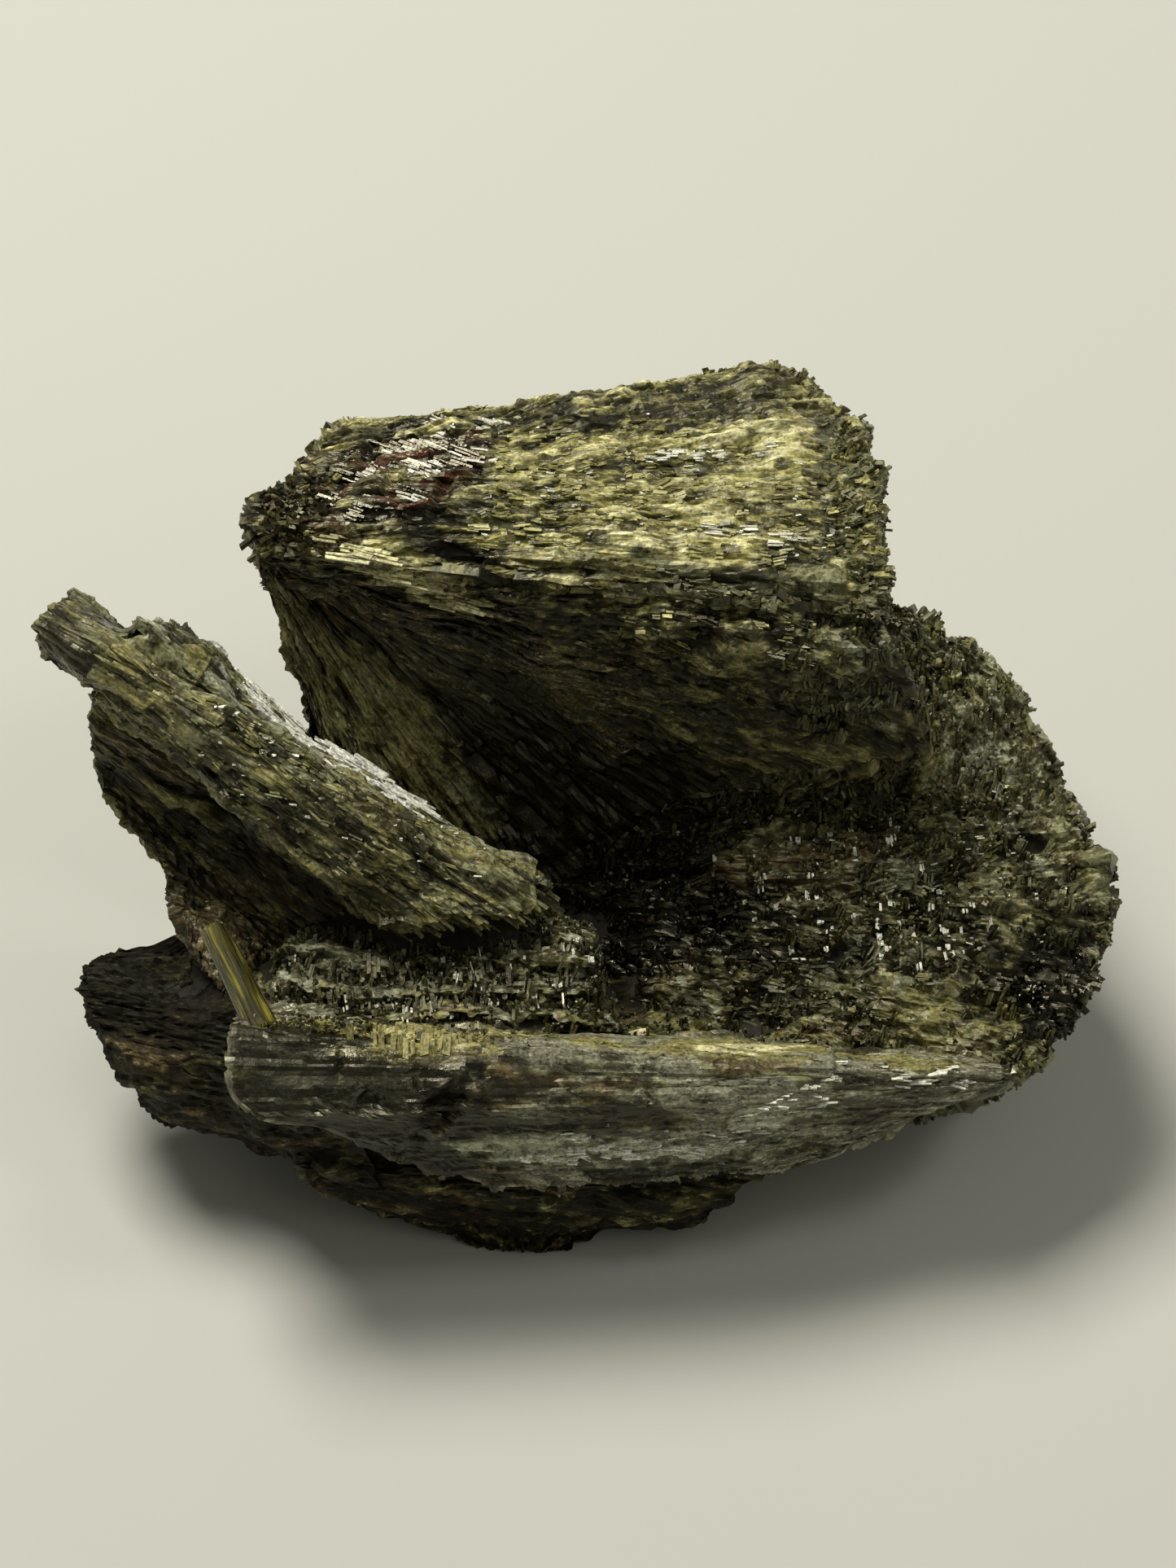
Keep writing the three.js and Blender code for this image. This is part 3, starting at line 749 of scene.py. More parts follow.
def crystalsOn(sheaf, rng, kind, patch=None, face="front"):
    # single crystals on a face of a sheaf, side by side in their groups
    look = brushes[kind]
    here, out, axis, facing, near = groupsOn(sheaf, look, patch, face, rng)
    count, stray = len(near), math.radians(look["spread"])
    wide = look["group"] * rng.uniform(*vary["groupWide"], count)
    each = np.maximum(1, np.round(wide / look["width"]).astype(int)) * near
    own = np.repeat(np.arange(count), each)
    n = len(own)
    order = np.arange(n) - np.repeat(np.cumsum(each) - each, each)
    beside = ((order + 0.5) / each[own] - 0.5) * wide[own]
    beside = beside + rng.normal(0, vary["beside"] * look["width"], n)
    axis = unit(axis[own] + rng.normal(0, vary["turn"] * stray, (n, 3)))
    facing = unit(facing[own] + rng.normal(0, vary["tilt"] * stray, (n, 3)))
    facing = unit(facing - axis * (facing * axis).sum(1, keepdims=True))
    long = look["long"] * rng.uniform(*vary["groupLong"], count)[own] * rng.uniform(*vary["long"], n)
    width = look["width"] * np.exp(rng.normal(0, vary["wide"], n))
    rise = rng.normal(0, vary["rise"] * look["lift"], n)
    middle = here[own] + np.cross(axis, facing) * beside[:, None]
    middle = middle + out[own] * (rise - vary["sunk"] * width)[:, None]
    middle = middle + axis * (rng.normal(0, vary["slide"], n) * long)[:, None]
    made = {"middle": middle, "axis": axis, "out": facing, "length": long, "width": width,
            "height": width * rng.uniform(*vary["thick"], n)}
    highest = np.maximum(*(standing(middle + axis * (long / 2 * end)[:, None]) for end in (-1, 1)))
    seen = (highest < stand["proudest"] * long + stand["above"]) & (highest > -stand["below"])
    luck = rng.random((2, count))[:, own]
    specks = hue["speckShare"] * lumps(middle[:, ::-1], hue["specks"])
    draw = ranked(lumps(middle, hue["clouds"]) + specks + hue["chance"] * luck[0])
    # sunk crystals painted darker, then the sheaf's and the brush's painted light and shade
    level = hue["middle"] + hue["rise"] * rise + hue["group"] * luck[1] + hue["own"] * rng.random(n)
    level = level + hue["lump"] * lumps(middle, hue["lumpSize"]) + paler(middle, sheaf) + look.get("pale", 0)
    made["tint"], gloss = coloured(middle, look.get("shades", sheaf["shades"]), draw, level)
    glassy = (rng.random(n) < stand["glassy"]) | ("polished" in look)
    made["gloss"] = gloss * np.where(glassy, 1, stand["rest"])
    return {key: value[seen] for key, value in made.items()}


def masterBlade(sides):
    # one crystal of unit size, modelled once and copied for every other; on its map the sides are strips next
    # to each other, and the two ends lie above them
    master = addRod(sides)
    with editing(master):
        bpy.ops.transform.rotate(value=math.pi / sides, orient_axis="Z", center_override=(0, 0, 0))
    mesh = master.data
    points = np.array([v.co for v in mesh.vertices])
    corner, start, fibre, sheet = [], [], [], []
    for face in mesh.polygons:
        start.append(len(corner))
        isEnd = abs(face.normal.z) > 0.5
        turn = math.atan2(face.center.y, face.center.x)
        strip = round((turn / (2 * math.pi) % 1) * sides - 0.5) % sides
        for v in face.vertices:
            x, y, z = points[v]
            bend = math.remainder(math.atan2(y, x) - turn, 2 * math.pi)
            corner.append(v)
            fibre.append((y, x, 1) if isEnd else (z, (turn + bend) / 2, 0))
            if isEnd:
                sheet.append((0.25 + 0.2 * x + (0.5 if face.normal.z > 0 else 0), 0.88 + 0.1 * y))
            else:
                sheet.append(((strip + 0.5 + 0.8 * bend * sides / (2 * math.pi)) / sides, 0.38 + 0.72 * z))
    bpy.data.objects.remove(master, do_unlink=True)
    lists = {"corner": corner, "start": start, "fibre": fibre, "sheet": sheet}
    return {"points": points, **{key: np.array(value) for key, value in lists.items()}}


blade = masterBlade(4)


def joinedBlades(name, b, rng):
    # one mesh of many crystals, with a fibre map in millimetres and a tint and gloss for each
    n = len(b["length"])
    x, y, z = blade["points"].T
    slant = rng.uniform(-stand["cut"], stand["cut"], (4, n, 1))
    wide, tall = b["width"][:, None] * x, b["height"][:, None] * y
    cut = np.where(z > 0, slant[0] * wide + slant[1] * tall, slant[2] * wide + slant[3] * tall)
    along = b["length"][:, None] * z + cut
    side = np.cross(b["axis"], b["out"])
    points = b["middle"][:, None] + side[:, None] * wide[:, :, None]
    points = points + b["out"][:, None] * tall[:, :, None] + b["axis"][:, None] * along[:, :, None]
    copies = np.arange(n)[:, None]
    corners = (blade["corner"] + len(blade["points"]) * copies).ravel()
    starts = (blade["start"] + len(blade["corner"]) * copies).ravel()
    u, v, isEnd = blade["fibre"].T
    slide = rng.uniform(0, stand["slide"], (2, n, 1))
    u = u * np.where(isEnd > 0, b["width"][:, None], b["length"][:, None]) + slide[0]
    v = v * b["width"][:, None] + slide[1]
    grid = math.ceil(math.sqrt(n))
    cell = np.stack([copies % grid, copies // grid], -1)
    edge, width = stand["cell"]
    uvs = {"fibre": np.stack([u, v], -1), "OFBake": (cell + edge + width * blade["sheet"]) / grid}
    tint, gloss = (np.repeat(b[key], len(blade["points"]), 0) for key in ("tint", "gloss"))
    return meshPiece(name, points.reshape(-1, 3), corners, starts, uvs, tint, gloss)


class Link:
    # a socket that can be used in an expression
    def __init__(self, tree, socket=None):
        self.tree = tree
        self.socket = socket

    def add(self, kind, settings, inputs, output=0):
        node = self.tree.nodes.new(kind)
        for key, value in settings.items():
            if key == "stops":
                fillRamp(node.color_ramp, value)
            else:
                setattr(node, key, value)
        for key, value in inputs.items():
            if isinstance(value, Link):
                self.tree.links.new(value.socket, node.inputs[key])
            else:
                node.inputs[key].default_value = value
        return Link(self.tree, node.outputs[output]) if len(node.outputs) else node

    def noise(self, place, size, detail, rough=0.5, kind="3D"):
        return self.add("ShaderNodeTexNoise", {"noise_dimensions": kind},
                        {"Vector": place, "Scale": 1 / size, "Detail": detail, "Roughness": rough})

    def ranged(self, value, old, new):
        return self.add("ShaderNodeMapRange", {}, {0: value, 1: old[0], 2: old[1], 3: new[0], 4: new[1]})

    def bump(self, height, ridge):
        return self.add("ShaderNodeBump", {}, {"Height": height, "Distance": ridge * mm, "Strength": 1})

    def surface(self, looks, **others):
        shader = self.add("ShaderNodeBsdfPrincipled", {}, looks)
        self.add("ShaderNodeOutputMaterial", {}, {"Surface": shader, **others})

    def maths(self, operation, first, second):
        return self.add("ShaderNodeMath", {"operation": operation}, {0: first, 1: second})

    def __add__(self, other):
        return self.maths("ADD", self, other)

    __radd__ = __add__

    def __sub__(self, other):
        return self.maths("SUBTRACT", self, other)

    def __rsub__(self, other):
        return self.maths("SUBTRACT", other, self)

    def __mul__(self, other):
        return self.maths("MULTIPLY", self, other)

    __rmul__ = __mul__


def fillRamp(ramp, stops):
    while len(ramp.elements) > 1:
        ramp.elements.remove(ramp.elements[-1])
    ramp.elements[0].position = stops[0][0]
    ramp.elements[0].color = (*stops[0][1], 1)
    for place, colour in stops[1:]:
        ramp.elements.new(place).color = (*colour, 1)


def newMaterial(name):
    material = bpy.data.materials.new(name)
    material.use_nodes = True
    material.node_tree.nodes.clear()
    return material, Link(material.node_tree)


# fine, broad, dash: how often their noise repeats along and across the fibre, in a millimetre
# mix, streak, streakNoise: shares of fine and broad, how dark and light they get, and between which noise
# dashFrom to dashGloss: where dashes, a painted glint, are pale, and how pale; darkFrom to darkShade: less so
# on dark crystals
# grain, patch: sizes in millimetres and how much they shade; bumps, ridge: shares of streaks and grain in the
# bumps, and their height
crystal = {
    "fine": (2.1, 6.5), "broad": (0.65, 2.3), "mix": (0.55, 0.45), "streak": (0.35, 1.5),
    "streakNoise": (0.32, 0.68), "dash": (1.7, 5.5), "dashFrom": 0.6, "dashOver": 0.06, "dashShade": 0.58,
    "dashColour": (0.66, 0.64, 0.46), "dashGloss": 0.3, "darkFrom": 0.01, "darkTo": 0.1, "darkShade": 0.08,
    "grainSize": 0.2, "grainShade": 2.2, "grainRough": 0.4, "patchSize": 4, "patchShade": 0.8, "ridge": 0.05,
    "bumps": (0.7, 0.6),
    "ior": 1.62, "sheenTint": (1, 0.95, 0.72), "dull": 0.62, "glassy": 0.1,
}


def crystalMaterial(name, look):
    # glassy fibrous crystal: tint and gloss come from each lath; striations, painted glint dashes and grain
    # lie along it
    material, start = newMaterial(name)
    tint = start.add("ShaderNodeAttribute", {"attribute_name": "tint"}, {}, "Color")
    gloss = start.add("ShaderNodeAttribute", {"attribute_name": "gloss"}, {}, "Fac")
    fibre = start.add("ShaderNodeUVMap", {"uv_map": "fibre"}, {}, "UV")
    place = start.add("ShaderNodeTexCoord", {}, {}, "Object")
    grain = start.noise(place, look["grainSize"] * mm, 2)
    patch = start.noise(place, look["patchSize"] * mm, 3)
    along = (start.add("ShaderNodeMapping", {}, {"Vector": fibre, "Scale": (*look[key], 1)})
             for key in ("fine", "broad", "dash"))
    fine, broad, dash = (start.noise(place, 1, 2, 0.6, "2D") for place in along)
    both = fine * look["mix"][0] + broad * look["mix"][1]
    streak = start.ranged(both, look["streakNoise"], look["streak"])
    level = streak + (grain - 0.5) * look["grainShade"] + (patch - 0.5) * look["patchShade"]
    grey = start.add("ShaderNodeCombineColor", {}, {0: level, 1: level, 2: level})
    multiply = {"data_type": "RGBA", "blend_type": "MULTIPLY"}
    shaded = start.add("ShaderNodeMix", multiply, {0: 1.0, 6: tint, 7: grey}, 2)
    bright = start.add("ShaderNodeRGBToBW", {}, {"Color": tint})
    # dashes: painted glints that mix the colour towards a pale one, more on glossy laths and less on dark
    # crystals
    dashed = (look["dashFrom"], look["dashFrom"] + look["dashOver"])
    amount = start.ranged(dash, dashed, (0, look["dashShade"])) * (gloss + look["dashGloss"])
    amount = amount * start.ranged(bright, (look["darkFrom"], look["darkTo"]), (look["darkShade"], 1))
    pale = (*look["dashColour"], 1)
    shaded = start.add("ShaderNodeMix", {"data_type": "RGBA"}, {0: amount, 6: shaded, 7: pale}, 2)
    roughness = look["dull"] + gloss * (look["glassy"] - look["dull"]) + (grain - 0.5) * look["grainRough"]
    bump = start.bump(both * look["bumps"][0] + grain * look["bumps"][1], look["ridge"])
    start.surface({"Base Color": shaded, "Roughness": roughness, "Normal": bump, "IOR": look["ior"],
                   "Specular Tint": (*look["sheenTint"], 1)})
    return material


epidote = crystalMaterial("epidote", crystal)
dullEpidote = crystalMaterial("dull_epidote", {**crystal, "ior": 1.35, "dull": 0.85, "glassy": 0.4})

# the sheaves, in millimetres in the display frame
# rows: its ribs, each with root, rim and the depth at both; crown: how far the middle bulges
# back: the way depth runs, if not straight back; lean: how far fibres turn towards the root
# coarse: how much wider its grid is
# finish, side, patches: how its front, its sides and its patches are broken up; lumpy: how uneven it is
# laid: brushes, each all over its front or in a patch or on another face; holes: how deep and where
# shades: its palettes; how much lighter it is painted all over, and shaded: how much in patches; painted
# light, and painted shade where negative; dull: hardly glassy
sheaves = {
    "top_fan": {
        "crown": 1.2, "coarse": 1.1, "finish": "fibrous", "lean": 5,
        "rows": [
            (-15.5, 24.3, -7, 4, 26.6, -10, 3, 3), (-16.5, 24, -6, 11, 28, -10.5, 3, 4),
            (-17.7, 22.8, -4, 15.2, 25, -7, 5, 7), (-19.3, 20.3, -1, 16.9, 20.5, -1, 7, 12),
            (-21.7, 18.5, 1, 17, 15.5, 4, 8, 14), (-20.9, 16, 1, 17, 11.8, 5.8, 7, 11),
        ],
        "patches": [
            ("blocky", (-13, 20.4, 6.5, 2.8, 24)), ("tufted", (15.5, 18, 2, 8, 0)),
            ("tufted", (-18.7, 18, 2.3, 3.6, 0)), ("tufted", (13.5, 13, 4, 2.2, -10)),
        ],
        "laid": [
            ("streaks", (-13.2, 20.5, 5.4, 2, 28)), ("chips", (4, 19, 13, 5, -5)),
            ("sprinkle", (5, 19, 12, 5, -5)), ("stubs", (5, 13.4, 12, 0.7, -6)),
            ("dashes", (7, 22.2, 4.5, 0.6, 4)), ("dashes", (8.5, 17.2, 3.5, 0.5, -4)),
            ("drusy", (-18.6, 18, 2.2, 3.4, 0)), ("stubs", None, "root"),
            ("flakes", (-13.5, 15.4, 3.4, 0.6, -20)), ("drusy", None, "rim"),
            ("drusy", (15.8, 18, 1.6, 8, 0)),
        ],
        "shades": [
            ("bright", 0.7), ("olive", 0.45), ("green", 0.15), ("bright", 2.2, (4, 19.6, 9.5, 4, -6)),
            ("olive", 3.5, (5, 25.8, 13, 1.6, 8)), ("bright", 1.2, (0, 25.2, 9, 1.4, 8)),
            ("green", 2.6, (15.7, 18, 2.6, 8, 0)), ("olive", 0.9, (15.5, 18, 3, 8, 0)),
            ("glass", 6, (-13.3, 20.4, 6.2, 2.6, 28)), ("garnet", 3, (-12.6, 20.6, 5.6, 2, 28)),
            ("brown", 4, (-18.4, 17.8, 3, 4, 0)), ("dark", 2, (-18.4, 17.8, 3, 4, 0)),
            # dark in the groove, darker colours by the crease and bright on the flake below: painted shade
            # and painted light
            ("olive", 2, (-18.4, 17.8, 3, 4, 0)), ("dark", 9, (-7.5, 15.2, 3.6, 0.7, -24)),
            ("green", 3, (9, 13.6, 9, 1.6, -6)), ("olive", 3, (4, 13.8, 9, 1.2, -6)),
            ("bright", 14, (-13.5, 15.3, 3.4, 0.6, -20)),
        ],
        # slightly darker along the top, darker in the groove and towards the crease, lighter on the flake and
        # the right end: painted shade and painted light
        "shaded": [
            (-0.06, (9, 26, 9, 1.6, 8)), (0.15, (15.7, 18, 2.4, 8, 0)), (-0.3, (7, 13.4, 10, 1.4, -6)),
            (0.2, (-14.5, 15.8, 4.5, 1.2, -20)), (-0.45, (-7.5, 15.2, 3.6, 0.7, -24)),
        ],
        "holes": [
            (0.8, (-7.5, 15.2, 3.4, 0.5, -24)), (0.5, (7.5, 22.8, 4, 0.3, 6)),
            (0.6, (-14.5, 21.6, 0.5, 1.6, -20)), (0.5, (-9.8, 19.4, 0.4, 1.4, -20)),
        ],
    },
    "mid_fan": {
        "crown": -1, "back": (0, -0.1, -1), "coarse": 1.15, "finish": "glassy", "lean": 9,
        "rows": [
            (-20.6, 17, 0.4, 16.9, 12.4, 5.6, 7, 12), (-20.3, 15.8, 0, 18.4, 8.5, 6.2, 7, 16),
            (-20, 15.5, -0.5, 19, 4.3, 2.5, 7, 16), (-19.8, 15.3, -1, 11, 2, -3.5, 7, 12),
        ],
        "patches": [("pitted", (5, 10.5, 9, 4, -15)), ("tufted", (13, 9.5, 5, 5, -15))],
        "laid": [
            ("flakes", (-11, 14.1, 4.2, 0.6, -23)), ("chips", (7, 10.5, 8, 3, -15)),
            ("needles", (14.5, 9, 3.6, 4, 0)), ("needles", None, "rim"),
        ],
        "shades": [
            ("dark", 0.7), ("olive", 0.5), ("brown", 0.2), ("glass", 4, (-7, 10, 9, 2.8, -27)),
            # bright on the flake, which lies in the overhang's shade: painted light
            ("bright", 20, (-11.4, 14.3, 4.4, 0.8, -23)), ("olive", 2.2, (6, 10.5, 8, 3, -15)),
            ("bright", 0.6, (5, 12, 8, 2, -12)), ("green", 1.8, (14, 10, 4, 4.5, 0)),
            ("frost", 0.9, (16, 8, 2, 3, 0)), ("olive", 4, (9, 2.8, 3, 1.2, -25)),
        ],
        # lighter on the flake and next to the crease: painted light
        "shaded": [(0.75, (-11.4, 14.3, 4.4, 0.8, -23)), (0.15, (4, 12, 9, 1.2, -8))],
    },
    "hollow_fan": {
        "crown": -0.6, "back": (0.05, 0, -1), "coarse": 1.4, "finish": "glassy",
        "rows": [
            (-19.8, 15.8, -0.5, 14, 3.5, -4, 8, 14), (-20, 15.5, -0.5, 6, -1, -11, 8, 11),
            (-20, 15.3, -0.5, -1, -4.5, -14, 6, 8), (-20.2, 15.2, -0.5, -7, -5.5, -13, 5, 7),
            (-20.8, 15.6, -0.5, -12.5, -3.5, -11, 3.5, 5), (-21.2, 16.2, -0.5, -17.6, 3, -8, 2.5, 2),
        ],
        "shades": [
            ("glass", 0.7), ("dark", 0.4), ("olive", 5, (-13, 4.5, 10, 2.4, -52)),
            ("green", 2, (-13, 4.5, 10, 2.4, -52)), ("brown", 2, (-16, 9, 8, 1.6, -60)),
        ],
        # lighter on the sheet at the left, darker deep in the hollow: painted light and painted shade
        "shaded": [(0.75, (-13.2, 4.8, 11, 2.8, -52)), (-0.4, (-3.5, -1, 4, 4.5, 0))],
    },
    "right_fan": {
        "crown": 4, "back": (-0.05, 0, -1), "coarse": 1.35, "finish": "tufted", "side": "tufted",
        "lumpy": 1.5,
        "rows": [
            (13, 9.5, 0, 17.8, 13.1, -1, 14, 10), (13, 7, -1, 22.7, 10.3, -2, 16, 11),
            (10.5, 3, -5, 26, 7.1, -2, 14, 12), (3, 0, -12, 28.6, 0.9, -2, 9, 11),
            (-3, -3, -14.5, 30.5, -2.8, -1, 7, 9), (-6, -5, -15.5, 31.2, -5.6, 0, 7, 8),
            (-7, -6.5, -15.5, 30.3, -9.9, 1, 7, 10), (-7, -8.5, -13.5, 28.8, -12.5, 2, 8, 12),
            (-6, -11, -10.5, 25.8, -15.9, 2.5, 10, 12), (-4, -14, -5, 18, -18.3, 1.5, 10, 10),
        ],
        "patches": [
            ("massive", (3, -6, 8, 3.5, 5)), ("fibrous", (11, -3.3, 6, 1.6, 12)),
            ("glassy", (27.7, -11, 1.8, 2.6, 20)),
        ],
        "laid": [
            ("needles",), ("needles", None, "near"), ("drusy", None, "rim"), ("radial", (13, -5, 12, 7, -5)),
            ("glints", (13.5, -0.7, 6, 0.9, -4)), ("glints", (17, -6, 9, 3, -4)),
            ("sprinkle", (16, -3, 11, 6, -10)),
        ],
        "shades": [
            # dark and glassy next to the hollow, in the shade of the mid fan's edge: painted shade
            ("dark", 0.7), ("green", 0.9), ("olive", 0.3), ("brown", 0.15), ("dark", 5, (3, -5, 9, 5, 0)),
            ("glass", 4, (3, -5, 9, 5, 0)), ("frost", 1, (22, 9, 5, 5, -40)),
            ("olive", 1.2, (21, 8.5, 4, 4, -40)), ("frost", 0.8, (25, 0.5, 3.5, 5, 0)),
            ("frost", 0.8, (18.5, -7, 4, 4, 0)), ("frost", 0.4, (9, -10.5, 6, 2.5, 0)),
            ("brown", 6, (11, -3.3, 6, 1.2, 12)), ("olive", 3, (22, -12.5, 5, 1.6, -10)),
            ("glass", 8, (27.7, -11, 2, 2.4, 20)),
        ],
        # a little lighter all over: painted light
        "pale": 0.16,
        # lighter on the upper right, the right side and the brown streak, darker at the lower middle, the
        # wedge and in the hollow: painted light and painted shade
        "shaded": [
            (0.3, (22, 9, 6, 5, -40)), (0.25, (25.5, 1, 4, 6, 10)), (-0.25, (26, -8.5, 4, 3.5, 20)),
            (-0.3, (7, -10, 11, 2.6, -4)), (0.3, (11, -3.3, 6, 1.2, 12)), (-0.65, (3, -6, 8, 3.8, 0)),
            (-0.4, (-3, -2, 4, 3, 0)), (-0.75, (27.7, -11, 2.2, 3, 20)), (0.15, (22, -12.5, 5, 1.6, -10)),
        ],
    },
    "lower_prism": {
        "crown": 1.5, "coarse": 1.1, "finish": "smooth", "lumpy": 0.5,
        "rows": [
            (-22, -12.2, 5, 24.6, -15.2, 2, 7, 7), (-22.3, -13.1, 9, 25.2, -15.6, 4, 12, 9),
            (-22, -17.1, 10, 24.8, -16.5, 4, 14, 9), (-16, -19.2, 8.5, 21.2, -17.9, 3.5, 12, 9),
            (-11, -21.2, 6.5, 16.2, -19.8, 3, 10, 8), (-6, -22.7, 3.5, 11, -21.9, 2, 6, 6),
        ],
        "laid": [
            ("dashes", (1.5, -20.5, 5, 0.45, 2)), ("sparks", (4, -19.4, 8, 1.2, 5)),
            ("dashes", (12, -17.3, 6, 0.8, 22)), ("dashes", (18.5, -16.2, 4, 0.6, 4)),
            ("grains", (-4, -13.6, 18, 0.35, -3.9)), ("columns", (-11.3, -13.6, 3.6, 0.5, -3)),
        ],
        "patches": [("blocky", (-9.5, -17.7, 1, 3.2, -41))],
        "holes": [
            (0.7, (-9.5, -17.7, 0.8, 3, -41)), (0.4, (-14.1, -17.4, 0.6, 1, -20)),
            (0.3, (-15.8, -14.6, 0.15, 1.4, 4)), (0.25, (2.8, -17, 0.15, 1, 0)),
        ],
        "shades": [
            ("grey", 1), ("green", 0.2), ("brown", 0.25), ("olive", 5, (0.65, -13.95, 25, 0.4, -3.9)),
            ("bright", 5, (0.5, -13.9, 18, 0.25, -3.9)), ("yellow", 30, (-11.3, -13.9, 4, 0.8, -3)),
            # brown and dark in the scar and the notch, which are also sunk: partly their own colour, partly
            # painted shade
            ("brown", 9, (-9.5, -17.7, 1.1, 3.4, -41)), ("dark", 9, (-9.5, -17.7, 0.6, 3, -41)),
            ("dark", 6, (-14.1, -17.4, 0.5, 1, -20)), ("green", 1.5, (-19.5, -15.5, 2.5, 2, 0)),
            # a pale patch on the lower edge: painted highlight; brown at the lower left, its underside:
            # painted shade
            ("frost", 6, (-0.5, -20.5, 8.5, 0.9, -1)), ("frost", 1.5, (12, -17.5, 8, 1, 14)),
            ("brown", 3, (-14.5, -19.7, 7, 1.2, -17)),
        ],
        # lighter on the lower edge and the block, darker over the top rim, at the left, in the scar and at
        # the lower left: painted light and painted shade
        "shaded": [
            (0.9, (-0.5, -20.3, 8.5, 0.8, -1)), (0.2, (12, -17.5, 8, 1, 14)),
            (-0.75, (4, -13.6, 22, 0.4, -3.9)), (0.55, (-11.3, -13.7, 4, 0.6, -3)),
            (-0.4, (-15.5, -17, 5, 2.5, -10)), (-0.3, (-9.5, -17.7, 0.9, 3.2, -41)),
            (-0.4, (-14.5, -19.9, 7, 1.1, -17)),
        ],
    },
    "long_blade": {
        "crown": 1, "back": (0, -0.15, -1), "coarse": 1.1, "finish": "bladed",
        "rows": [
            (-26.5, 9.4, 0, -4.8, -3.3, -3, 3, 4), (-28.2, 10.1, 3, -4, -4.5, 1, 5, 7),
            (-29.7, 10.1, 5, -5, -6, 4.5, 6, 9), (-30.9, 8.6, 4, -9, -6.3, 5, 5, 8),
            (-30.8, 7.4, 3, -13.5, -6.4, 4, 3, 6),
        ],
        "patches": [("massive", (-12.5, -2.5, 7, 1.6, -38))],
        "laid": [
            ("silvery", (-13.6, 1.9, 3.4, 0.25, -30)), ("silvery", (-13.4, 1.7, 2.4, 0.45, -30), "near"),
            ("sprinkle", (-18, 3, 10, 4, -36)), ("chips", (-18, 3, 10, 4, -36)), ("frays", None, "rim"),
        ],
        "shades": [
            # pale along the top edge and near-white streaks: painted highlight; dark on the lower half:
            # painted shade
            ("olive", 0.7), ("green", 0.5), ("dark", 0.25), ("frost", 5, (-16.3, 5, 11, 0.7, -36)),
            ("dark", 1.5, (-12, -1.8, 6, 1.2, -38)), ("grey", 1.5, (-20, 7, 6, 1.2, -42)),
            ("silver", 2, (-14, 1.75, 3.4, 0.2, -30)), ("silver", 1.5, (-20, 5.7, 3.2, 0.25, -43)),
        ],
        # painted lighter all over and along its upper part: painted light
        "pale": 0.2,
        "shaded": [(0.35, (-19, 6.5, 7, 1.8, -42)), (0.15, (-12, 0, 6, 2, -34))],
    },
    "blade_tip": {
        "crown": 0.3, "back": (0, -0.1, -1), "finish": "smooth",
        "rows": [
            (-32.4, 13.5, 2, -22, 7, 1, 3, 4), (-33.4, 12.6, 4, -22, 6, 4, 4, 5),
            (-34.6, 11.1, 4.5, -24, 4.5, 4.5, 4, 5), (-33.8, 9.9, 3, -26, 4.5, 3, 3, 4),
        ],
        "shades": [("olive", 0.6), ("green", 0.4), ("dark", 0.3)],
    },
    "blade_crest": {
        "crown": 0.2, "back": (0, -0.1, -1), "finish": "fibrous",
        "rows": [
            (-25.4, 11.2, 1, -17, 3.4, -1, 3, 3), (-26.6, 11.8, 3, -18, 3.6, 1.5, 4, 4),
            (-28.6, 11.8, 4.5, -20, 4, 4, 4, 5),
        ],
        "laid": [
            ("silvery", (-20.6, 6.6, 3.2, 0.4, -43)), ("silvery", (-20.4, 6.6, 2.6, 0.5, -43), "near"),
            ("frays", None, "rim"),
        ],
        # painted lighter all over: painted light; the near-white streaks are a painted highlight
        "pale": 0.25,
        "shades": [
            ("grey", 0.5), ("green", 0.4), ("dark", 0.2), ("frost", 0.4),
            ("silver", 1.5, (-20, 5.9, 3.4, 0.3, -43)), ("silver", 1, (-23.6, 9.2, 1.6, 0.4, -42)),
        ],
    },
    "left_wing": {
        "crown": -2.2, "back": (0.15, 0, -1), "coarse": 1.2, "finish": "massive",
        "rows": [
            (-31.1, 7.4, 1, -13, -5.5, 0, 3, 6), (-31.5, 4.8, -0.5, -14.5, -7.5, -2, 3, 6),
            (-31.4, 2.8, -1.5, -16, -9, -3, 3, 6), (-29.9, 0.2, -2, -17, -10.5, -3, 3, 6),
            (-27.3, -3, -1.5, -18, -11.8, -1.5, 3, 6), (-26.5, -5.5, -1, -20, -12.5, 1, 3, 6),
            (-25.4, -8.8, 0, -21, -13, 3.5, 3, 6),
        ],
        "shades": [("brown", 0.7), ("dark", 0.5), ("olive", 0.2), ("olive", 1.2, (-30, 3, 2.2, 6, 20))],
    },
    "step_rows": {
        "crown": 0.6, "coarse": 1.1, "finish": "ledged", "lumpy": 1.3,
        "rows": [
            (-16, -7, -2, -2, -6.5, 0.5, 10, 12), (-20, -8.5, -0.5, -0.3, -8.8, 3, 9, 13),
            (-20.2, -10.8, 1, -0.2, -10.8, 4, 10, 14), (-20.2, -13, 3, 1, -13.2, 4.5, 10, 15),
        ],
        "laid": [
            ("palisade", (-9, -8.1, 8, 0.5, -2)), ("palisade", (-10, -9.7, 9, 0.5, -3)),
            ("palisade", (-9.5, -11.3, 9, 0.5, -2)), ("needles",), ("needles", None, "rim"),
            ("glints", (-8, -9.5, 8, 3, 0)),
        ],
        "shades": [("dark", 0.7), ("green", 0.6), ("olive", 0.25), ("brown", 0.2), ("frost", 0.35)],
    },
    "lower_wing": {
        # painted much darker all over: painted shade
        "crown": 0.6, "coarse": 1.6, "finish": "massive", "pale": -0.6, "dull": True,
        "rows": [
